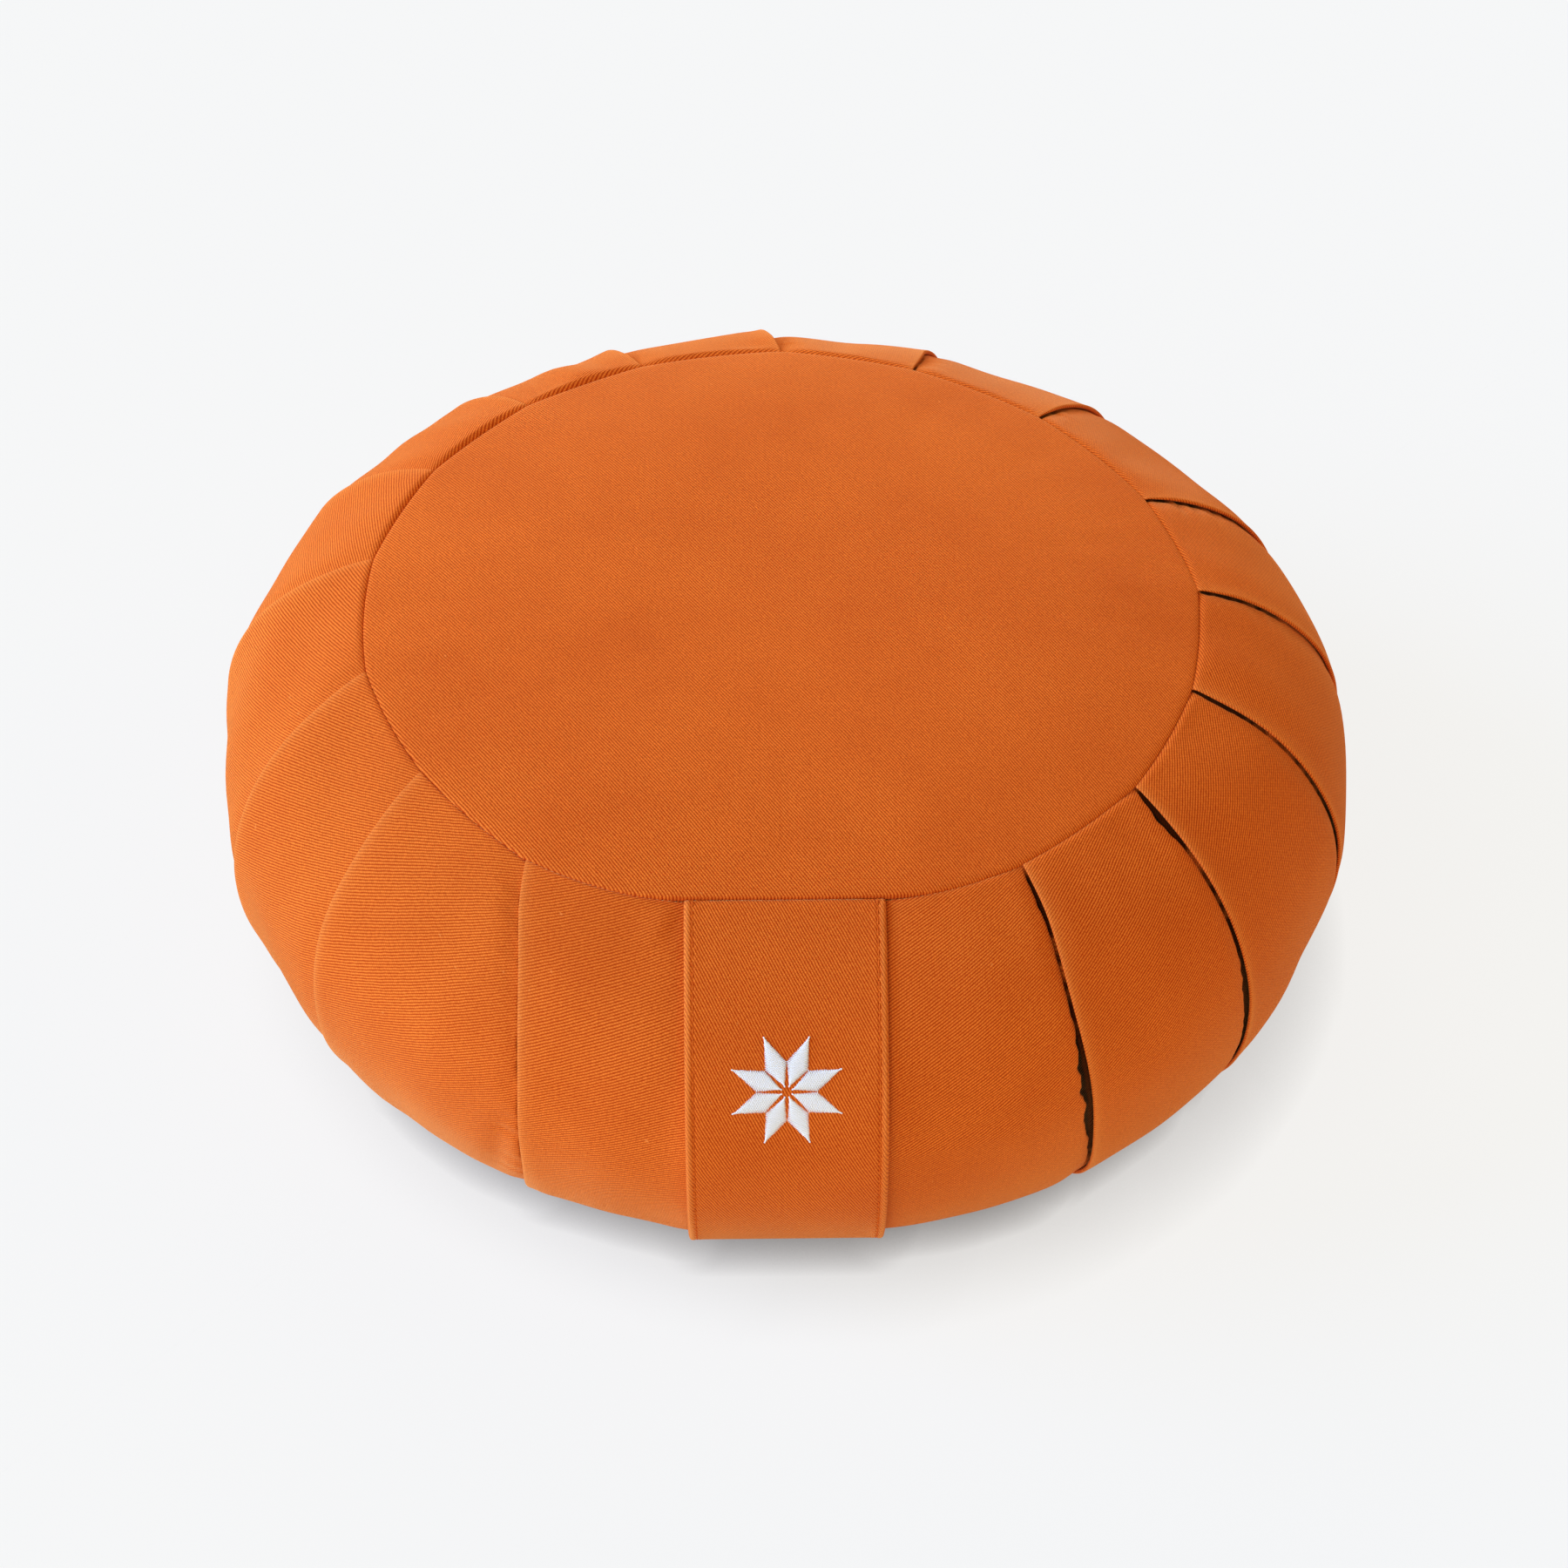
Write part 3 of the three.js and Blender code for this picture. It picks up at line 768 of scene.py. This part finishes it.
def closing_flap():
    step, length = steps_down(FLAP, *FLAP_ROWS)
    place, normal = section(FLAP, step)
    half = FLAP_WIDTH / 2.0
    edge = np.concatenate([np.linspace(0.0, 3.6, 17), [4.4, 5.4, 6.8]])
    middle = np.linspace(-(half - 8.6), half - 8.6, 20)
    x = np.concatenate([-half + edge, middle, half - edge[::-1]])
    relief = flap_relief(x)
    inset = half - np.abs(x)
    near_stitch = np.exp(-(((inset - HEM_STITCH_INSET) / 1.3) ** 2))
    pucker = STITCH_PUCKER * np.cos(2.0 * math.pi * length / STITCH_SPACING)
    face_out = relief[None, :] + pucker[:, None] * near_stitch[None, :]
    loose = FLAP_UNEVENNESS * wander_at(wander(4, 30.0, 90.0), length)
    face_out = face_out + loose[:, None] * (1 - near_stitch)
    tuck_in = FLAP_TUCK * np.exp(-length / FLAP_TUCK_WIDTH)
    face_out = face_out - tuck_in[:, None]
    back_x = np.array([half - 0.2, half * 0.6, 0.0, -half * 0.6, -half + 0.2])
    all_x = np.concatenate([x, back_x])
    out = np.concatenate([face_out, np.full((len(step), len(back_x)), -FLAP_CLOTH)], axis=1)
    reach = place[:, :1] + normal[:, :1] * out
    height = np.clip(place[:, 1:] + normal[:, 1:] * out, 0.3, None)
    rows = np.stack([np.broadcast_to(FLAP_MIDDLE + all_x, out.shape), -reach, height], axis=-1)
    left = np.broadcast_to(all_x, out.shape)
    right = np.broadcast_to(np.roll(all_x, -1), out.shape)
    ends = [rows[0].mean(axis=0), rows[-1].mean(axis=0)]
    # Hem edges lightened as wear and a painted highlight
    wear_light_and_shade = np.broadcast_to(np.concatenate([np.exp(-(((inset - 0.9) / 0.7) ** 2)), np.zeros(5)]), out.shape)
    piece = closed_rows("closing_flap_cloth", rows, ends, (left, right), -length, wear_light_and_shade)
    return piece, length


def flap_points(x, down, lift):
    """Points on the flap's face at distances across and down it, and the flap's way down there"""
    step, stops = steps_down(FLAP, *FLAP_ROWS)
    place, normal = section(FLAP, np.interp(down, stops, step))
    out = flap_relief(x) + lift
    reach = place[:, 0] + normal[:, 0] * out
    points = np.stack([FLAP_MIDDLE + x, -reach, place[:, 1] + normal[:, 1] * out], axis=-1)
    way_down = np.stack([np.zeros(len(x)), -normal[:, 1], -normal[:, 0]], axis=-1)
    return points, way_down


def grown(name, points, edges, tree, settings, attributes=()):
    """A plain mesh grown by a node tree from points or lines in millimetres"""
    mesh = bpy.data.meshes.new(name + "_guide")
    mesh.from_pydata(np.asarray(points) * MM, edges, [])
    for label, kind, values in attributes:
        attribute = mesh.attributes.new(label, kind, "POINT")
        field = "vector" if kind == "FLOAT_VECTOR" else "value"
        attribute.data.foreach_set(field, np.asarray(values, np.float32).ravel())
    guide = bpy.data.objects.new(name + "_guide", mesh)
    bpy.context.scene.collection.objects.link(guide)
    modifier = guide.modifiers.new("grow", "NODES")
    modifier.node_group = tree
    for item in tree.interface.items_tree:
        if item.item_type == "SOCKET" and item.in_out == "INPUT" and item.name in settings:
            modifier[item.identifier] = settings[item.name]
    seen = guide.evaluated_get(bpy.context.evaluated_depsgraph_get())
    plain = bpy.data.meshes.new_from_object(seen)
    guide.modifiers.clear()
    bpy.data.objects.remove(guide)
    plain.name = name
    piece = bpy.data.objects.new(name, plain)
    bpy.context.scene.collection.objects.link(piece)
    return piece


def thread_tree(name, inputs):
    """A new geometry tree with named inputs, and a thread: a slim round body along Z"""
    tree = bpy.data.node_groups.new(name, "GeometryNodeTree")
    tree.interface.new_socket("Geometry", in_out="INPUT", socket_type="NodeSocketGeometry")
    for label, kind in inputs:
        tree.interface.new_socket(label, in_out="INPUT", socket_type=kind)
    tree.interface.new_socket("Geometry", in_out="OUTPUT", socket_type="NodeSocketGeometry")
    given = tree.nodes.new("NodeGroupInput")
    thread = tree.nodes.new("GeometryNodeMeshUVSphere")
    thread.inputs["Segments"].default_value = 8
    thread.inputs["Rings"].default_value = 6
    thread.inputs["Radius"].default_value = 1.0
    return tree, given, thread


def lay_threads(tree, given, points, thread, way, half):
    """Lay a thread at every point, along a direction, then make it one plain mesh"""
    nodes, links = tree.nodes, tree.links
    turn = nodes.new("FunctionNodeAlignRotationToVector")
    turn.axis = "Z"
    links.new(way, turn.inputs["Vector"])
    size = nodes.new("ShaderNodeCombineXYZ")
    links.new(given.outputs["Thread Radius"], size.inputs["X"])
    links.new(given.outputs["Thread Radius"], size.inputs["Y"])
    links.new(half, size.inputs["Z"])
    laid = nodes.new("GeometryNodeInstanceOnPoints")
    links.new(points, laid.inputs["Points"])
    links.new(thread.outputs["Mesh"], laid.inputs["Instance"])
    links.new(turn.outputs["Rotation"], laid.inputs["Rotation"])
    links.new(size.outputs["Vector"], laid.inputs["Scale"])
    real = nodes.new("GeometryNodeRealizeInstances")
    links.new(laid.outputs["Instances"], real.inputs["Geometry"])
    soft = nodes.new("GeometryNodeSetShadeSmooth")
    links.new(real.outputs["Geometry"], soft.inputs["Geometry"])
    coloured = nodes.new("GeometryNodeSetMaterial")
    links.new(soft.outputs["Geometry"], coloured.inputs["Geometry"])
    links.new(given.outputs["Thread Material"], coloured.inputs["Material"])
    result = nodes.new("NodeGroupOutput")
    links.new(coloured.outputs["Geometry"], result.inputs["Geometry"])


def running_stitch_tree():
    """Even stitches along every line of a mesh"""
    tree, given, thread = thread_tree("running_stitch", (
        ("Spacing", "NodeSocketFloat"), ("Half Length", "NodeSocketFloat"),
        ("Thread Radius", "NodeSocketFloat"), ("Thread Material", "NodeSocketMaterial"),
    ))
    line = tree.nodes.new("GeometryNodeMeshToCurve")
    tree.links.new(given.outputs["Geometry"], line.inputs["Mesh"])
    spaced = tree.nodes.new("GeometryNodeCurveToPoints")
    spaced.mode = "LENGTH"
    tree.links.new(line.outputs["Curve"], spaced.inputs["Curve"])
    tree.links.new(given.outputs["Spacing"], spaced.inputs["Length"])
    lay_threads(
        tree, given, spaced.outputs["Points"], thread,
        spaced.outputs["Tangent"], given.outputs["Half Length"],
    )
    return tree


def satin_stitch_tree():
    """One thread at every point of a mesh, its way and length read from the points"""
    tree, given, thread = thread_tree("satin_stitch", (
        ("Thread Radius", "NodeSocketFloat"), ("Thread Material", "NodeSocketMaterial"),
    ))
    points = tree.nodes.new("GeometryNodeMeshToPoints")
    tree.links.new(given.outputs["Geometry"], points.inputs["Mesh"])
    way = tree.nodes.new("GeometryNodeInputNamedAttribute")
    way.data_type = "FLOAT_VECTOR"
    way.inputs["Name"].default_value = "thread_way"
    half = tree.nodes.new("GeometryNodeInputNamedAttribute")
    half.data_type = "FLOAT"
    half.inputs["Name"].default_value = "thread_half"
    lay_threads(
        tree, given, points.outputs["Points"], thread, way.outputs["Attribute"], half.outputs["Attribute"],
    )
    return tree


def flap_stitches(thread_material):
    """Topstitching down both hems of the flap"""
    down = np.arange(STITCH_START, STITCH_END, 1.0)
    points = []
    edges = []
    for side in (-1.0, 1.0):
        first = len(points)
        x = np.full(len(down), side * (FLAP_WIDTH / 2.0 - HEM_STITCH_INSET))
        points.extend(flap_points(x, down, THREAD_RADIUS * 0.4)[0])
        edges.extend((first + i, first + i + 1) for i in range(len(down) - 1))
    settings = {
        "Spacing": STITCH_SPACING * MM, "Half Length": STITCH_LENGTH / 2.0 * MM,
        "Thread Radius": THREAD_RADIUS * MM, "Thread Material": thread_material,
    }
    return grown("flap_stitches", points, edges, running_stitch_tree(), settings)


def flap_star(thread_material):
    """A star of lozenges in satin stitch: threads lie side by side across each lozenge"""
    x, down, way_x, way_down, half = [], [], [], [], []
    for i in range(STAR_POINTS):
        turn = 2.0 * math.pi * (i + 0.5) / STAR_POINTS
        for reach in np.arange(STAR_INNER, STAR_OUTER, SATIN_SPACING):
            along = (reach - STAR_INNER) / (STAR_OUTER - STAR_INNER)
            width = STAR_POINT_WIDTH * (along / 0.42 if along < 0.42 else (1.0 - along) / 0.58)
            x.append(reach * math.sin(turn))
            down.append(STAR_DOWN - reach * math.cos(turn))
            way_x.append(math.cos(turn))
            way_down.append(math.sin(turn))
            half.append(max(0.25, width / 2.0 + random.uniform(-0.08, 0.08)))
    points, flap_way = flap_points(np.array(x), np.array(down), 0.1)
    ways = np.array(way_down)[:, None] * flap_way
    ways[:, 0] += way_x
    settings = {"Thread Radius": SATIN_RADIUS * MM, "Thread Material": thread_material}
    attributes = (
        ("thread_way", "FLOAT_VECTOR", ways), ("thread_half", "FLOAT", np.array(half) * MM),
    )
    return grown("flap_star", points, [], satin_stitch_tree(), settings, attributes)


# Materials

def twill_group():
    """The weave: diagonal ridges with short floats, uneven yarn, and a few pale fibres"""
    tree = bpy.data.node_groups.new("cotton_twill_weave", "ShaderNodeTree")
    for name, kind, value in (
        ("Line Angle", "NodeSocketFloat", 0.0),
        ("Line Pitch", "NodeSocketFloat", TWILL_PITCH * MM),
        ("Unevenness", "NodeSocketFloat", 0.5),
    ):
        socket = tree.interface.new_socket(name, in_out="INPUT", socket_type=kind)
        socket.default_value = value
    for name in ("Ridge", "Height", "Yarn", "Fleck"):
        tree.interface.new_socket(name, in_out="OUTPUT", socket_type="NodeSocketFloat")
    nodes, links = tree.nodes, tree.links
    given = nodes.new("NodeGroupInput")
    result = nodes.new("NodeGroupOutput")

    def math_node(operation, *values):
        node = nodes.new("ShaderNodeMath")
        node.operation = operation
        for socket, value in zip(node.inputs, values):
            if isinstance(value, (int, float)):
                socket.default_value = value
            else:
                links.new(value, socket)
        return node.outputs[0]

    def noise(vector, scale, detail):
        node = nodes.new("ShaderNodeTexNoise")
        node.inputs["Scale"].default_value = scale
        node.inputs["Detail"].default_value = detail
        links.new(vector, node.inputs["Vector"])
        return node.outputs["Fac"]

    uv = nodes.new("ShaderNodeUVMap")
    uv.uv_map = "cloth"
    turn = nodes.new("ShaderNodeVectorRotate")
    turn.rotation_type = "Z_AXIS"
    links.new(uv.outputs["UV"], turn.inputs["Vector"])
    links.new(given.outputs["Line Angle"], turn.inputs["Angle"])
    parts = nodes.new("ShaderNodeSeparateXYZ")
    links.new(turn.outputs["Vector"], parts.inputs["Vector"])
    slub = math_node("SUBTRACT", noise(uv.outputs["UV"], 260.0, 2.0), 0.5)
    slub = math_node("MULTIPLY", slub, given.outputs["Unevenness"])
    lines = math_node("DIVIDE", parts.outputs["Y"], given.outputs["Line Pitch"])
    lines = math_node("ADD", lines, slub)
    wave = math_node("SINE", math_node("MULTIPLY", lines, 2.0 * math.pi))
    ridge = math_node("POWER", math_node("MULTIPLY_ADD", wave, 0.5, 0.5), 0.7)
    line_number = math_node("FLOOR", lines)
    floats = math_node("DIVIDE", parts.outputs["X"], given.outputs["Line Pitch"])
    floats = math_node("MULTIPLY_ADD", line_number, 0.37, math_node("MULTIPLY", floats, 0.9))
    float_wave = math_node("SINE", math_node("MULTIPLY", floats, 2.0 * math.pi))
    float_wave = math_node("MULTIPLY_ADD", float_wave, 0.16, 0.84)
    yarn = noise(uv.outputs["UV"], 1100.0, 2.0)
    grain = math_node("MULTIPLY_ADD", yarn, 0.7, -0.35)
    height = math_node("ADD", math_node("MULTIPLY", ridge, float_wave), grain)
    fleck = noise(uv.outputs["UV"], 420.0, 4.0)
    fleck = math_node("GREATER_THAN", fleck, 0.73)
    for name, value in (("Ridge", ridge), ("Height", height), ("Yarn", yarn), ("Fleck", fleck)):
        links.new(value, result.inputs[name])
    return tree


CLOTH_LIGHT = (0.98, 0.226, 0.024, 1.0)
CLOTH_DARK = (0.47, 0.038, 0.001, 1.0)
# Pale colour for faded fibres, and for fold edges lightened as wear and a painted highlight
CLOTH_FADED_AND_HIGHLIGHT = (0.98, 0.31, 0.060, 1.0)
# Near-black painted shade for the inside of open pleat mouths
CLOTH_PAINTED_SHADE = (0.012, 0.002, 0.001, 1.0)


def cloth_material(name, weave, line_angle):
    """Matt orange cotton twill, its lines at an angle to the cloth's own length"""
    material = bpy.data.materials.new(name)
    material.use_nodes = True
    nodes, links = material.node_tree.nodes, material.node_tree.links
    shader = nodes["Principled BSDF"]
    shader.inputs["Roughness"].default_value = 0.85
    shader.inputs["Specular IOR Level"].default_value = 0.05
    shader.inputs["Sheen Weight"].default_value = 0.46
    shader.inputs["Sheen Roughness"].default_value = 0.36
    shader.inputs["Sheen Tint"].default_value = (1.0, 0.56, 0.17, 1.0)
    twill = nodes.new("ShaderNodeGroup")
    twill.node_tree = weave
    twill.inputs["Line Angle"].default_value = math.radians(line_angle)

    def mixed(share, first, second):
        node = nodes.new("ShaderNodeMix")
        node.data_type = "RGBA"
        for socket, value in ((node.inputs[0], share), (node.inputs[6], first), (node.inputs[7], second)):
            if isinstance(value, bpy.types.NodeSocket):
                links.new(value, socket)
            else:
                socket.default_value = value
        return node.outputs[2]

    def scaled(value, low, high):
        node = nodes.new("ShaderNodeMapRange")
        links.new(value, node.inputs["Value"])
        node.inputs["To Min"].default_value = low
        node.inputs["To Max"].default_value = high
        return node.outputs["Result"]

    dye = nodes.new("ShaderNodeTexNoise")
    dye.inputs["Scale"].default_value = 22.0
    dye.inputs["Detail"].default_value = 6.0
    dye.inputs["Roughness"].default_value = 0.65
    place = nodes.new("ShaderNodeTexCoord")
    links.new(place.outputs["Object"], dye.inputs["Vector"])
    wear_light_and_shade = nodes.new("ShaderNodeAttribute")
    wear_light_and_shade.attribute_name = "wear_light_and_shade"
    colour = mixed(twill.outputs["Height"], CLOTH_DARK, CLOTH_LIGHT)
    uneven = mixed(scaled(dye.outputs["Fac"], -0.30, 0.50), colour, CLOTH_DARK)
    # Fold edges lightened as wear and a painted highlight
    wear_and_painted_light = mixed(scaled(wear_light_and_shade.outputs["Fac"], 0.0, 0.3), uneven, CLOTH_FADED_AND_HIGHLIGHT)
    cloth_colour = mixed(scaled(twill.outputs["Fleck"], 0.0, 0.35), wear_and_painted_light, CLOTH_FADED_AND_HIGHLIGHT)
    # Painted shade: open pleat mouths turn near black
    painted_mouth_shade = nodes.new("ShaderNodeMapRange")
    links.new(wear_light_and_shade.outputs["Fac"], painted_mouth_shade.inputs["Value"])
    painted_mouth_shade.inputs["From Min"].default_value = -0.2
    painted_mouth_shade.inputs["From Max"].default_value = -0.9
    cloth_colour = mixed(painted_mouth_shade.outputs["Result"], cloth_colour, CLOTH_PAINTED_SHADE)
    links.new(cloth_colour, shader.inputs["Base Color"])
    links.new(scaled(twill.outputs["Yarn"], 0.78, 0.95), shader.inputs["Roughness"])
    bump = nodes.new("ShaderNodeBump")
    bump.inputs["Strength"].default_value = 0.9
    bump.inputs["Distance"].default_value = 0.12 * MM
    links.new(twill.outputs["Height"], bump.inputs["Height"])
    links.new(bump.outputs["Normal"], shader.inputs["Normal"])
    return material


def thread_material(name, colour, gloss):
    """Sewing thread: matt cotton at gloss 0, satin towards 1"""
    material = bpy.data.materials.new(name)
    material.use_nodes = True
    shader = material.node_tree.nodes["Principled BSDF"]
    shader.inputs["Base Color"].default_value = colour
    shader.inputs["Roughness"].default_value = mix(0.9, 0.45, gloss)
    shader.inputs["Specular IOR Level"].default_value = mix(0.05, 0.5, gloss)
    return material


def floor_material():
    """Pale floor that glows evenly, its glow dimmed under the cushion into a painted shadow that reaches
    furthest on its right
    """
    material = bpy.data.materials.new("pale_studio_floor")
    material.use_nodes = True
    nodes, links = material.node_tree.nodes, material.node_tree.links
    shader = nodes["Principled BSDF"]
    shader.inputs["Base Color"].default_value = (0.08, 0.08, 0.08, 1.0)
    shader.inputs["Roughness"].default_value = 0.9
    shader.inputs["Specular IOR Level"].default_value = 0.0
    shader.inputs["Emission Color"].default_value = (1.0, 1.0, 0.985, 1.0)

    def shade(reach, towards, darkest, palest):
        """Glow of the floor, dimmed as painted shadow: darkest where the cushion is close in a direction,
        palest in the open
        """
        near = nodes.new("ShaderNodeAmbientOcclusion")
        near.samples = 8
        near.inputs["Distance"].default_value = reach * MM
        way = nodes.new("ShaderNodeCombineXYZ")
        for socket, value in zip(way.inputs, towards):
            socket.default_value = value
        links.new(way.outputs["Vector"], near.inputs["Normal"])
        glow = nodes.new("ShaderNodeMapRange")
        links.new(near.outputs["AO"], glow.inputs["Value"])
        glow.inputs["To Min"].default_value = darkest
        glow.inputs["To Max"].default_value = palest
        return glow.outputs["Result"]

    strength = nodes.new("ShaderNodeMath")
    strength.operation = "MULTIPLY"
    links.new(shade(13.0, aim(240.0, 65.0), 0.14, 0.845), strength.inputs[0])
    links.new(shade(30.0, aim(300.0, 35.0), 0.45, 1.0), strength.inputs[1])
    links.new(strength.outputs["Value"], shader.inputs["Emission Strength"])
    return material


# Assembly

weave = twill_group()
side_twill = cloth_material("orange_twill_side", weave, SIDE_TWILL_ANGLE)
top_twill = cloth_material("orange_twill_top", weave, TOP_TWILL_ANGLE)
flap_twill = cloth_material("orange_twill_flap", weave, FLAP_TWILL_ANGLE)

side = pleated_side()
side.data.materials.append(side_twill)
top = crowned_panel()
top.data.materials.append(top_twill)
bottom = flat_panel()
bottom.data.materials.append(top_twill)
flap, flap_lengths = closing_flap()
flap.data.materials.append(flap_twill)

orange_thread = thread_material("orange_thread", (0.66, 0.115, 0.011, 1.0), 0.0)
white_thread = thread_material("white_satin_thread", (0.88, 0.83, 0.76, 1.0), 0.8)
stitches = flap_stitches(orange_thread)
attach(stitches, "root")
star = flap_star(white_thread)
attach(star, "root")

for piece, node in (
    (side, "pleated_side"), (top, "top_panel"), (bottom, "bottom_panel"), (flap, "closing_flap"),
):
    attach(piece, "root")
    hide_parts(node)

# Floor, light and camera

floor_mesh = bpy.data.meshes.new("floor")
floor_mesh.from_pydata([(-6, -6, 0), (6, -6, 0), (6, 6, 0), (-6, 6, 0)], [], [(0, 1, 2, 3)])
floor = bpy.data.objects.new("floor", floor_mesh)
floor.data.materials.append(floor_material())
bpy.context.scene.collection.objects.link(floor)

# The world lights the cushion softly, and looks as pale as the floor behind it
world = bpy.data.worlds.new("soft_studio")
bpy.context.scene.world = world
world.use_nodes = True
background = world.node_tree.nodes["Background"]
background.inputs["Color"].default_value = (1.0, 1.0, 1.0, 1.0)
seen = world.node_tree.nodes.new("ShaderNodeLightPath")
backdrop = world.node_tree.nodes.new("ShaderNodeMapRange")
backdrop.inputs["To Min"].default_value = 0.2
backdrop.inputs["To Max"].default_value = 0.9
world.node_tree.links.new(seen.outputs["Is Camera Ray"], backdrop.inputs["Value"])
world.node_tree.links.new(backdrop.outputs["Result"], background.inputs["Strength"])

# Large soft lights: angle round the cushion from the front, height, strength and colour
LIGHT_SIZE = 40.0
LIGHTS = (
    ("left_window", 268.0, 24.0, 1.70, (1.0, 1.7, 3.3)),
    ("front_left_window", 318.0, 40.0, 1.18, (1.0, 1.02, 1.0)),
    ("back_panel", 192.0, 10.0, 2.70, (1.0, 0.78, 0.45)),
    ("right_panel", 98.0, 26.0, 0.82, (1.0, 0.74, 0.2)),
    ("front_panel", 5.0, 8.0, 0.25, (1.0, 0.85, 0.6)),
)

for name, angle, height, strength, colour in LIGHTS:
    light = bpy.data.lights.new(name, "SUN")
    light.energy = strength
    light.angle = math.radians(LIGHT_SIZE)
    light.color = colour
    lamp = bpy.data.objects.new(name, light)
    lamp.rotation_mode = "QUATERNION"
    lamp.rotation_quaternion = aim(angle, height).to_track_quat("Z", "Y")
    bpy.context.scene.collection.objects.link(lamp)

CAMERA_ELEVATION = 43.73
CAMERA_AZIMUTH = -0.75
CAMERA_DISTANCE = 1200.0
CAMERA_TARGET = (0.7, 0.0, 49.8)
CAMERA_LENS = 92.8

camera = bpy.data.cameras.new("camera")
camera.lens = CAMERA_LENS
camera.sensor_width = 36.0
camera_object = bpy.data.objects.new("camera", camera)
back = aim(CAMERA_AZIMUTH, CAMERA_ELEVATION)
camera_object.location = (Vector(CAMERA_TARGET) + back * CAMERA_DISTANCE) * MM
camera_object.rotation_mode = "QUATERNION"
camera_object.rotation_quaternion = back.to_track_quat("Z", "Y")
bpy.context.scene.collection.objects.link(camera_object)
bpy.context.scene.camera = camera_object
bpy.context.scene.view_settings.view_transform = "Standard"
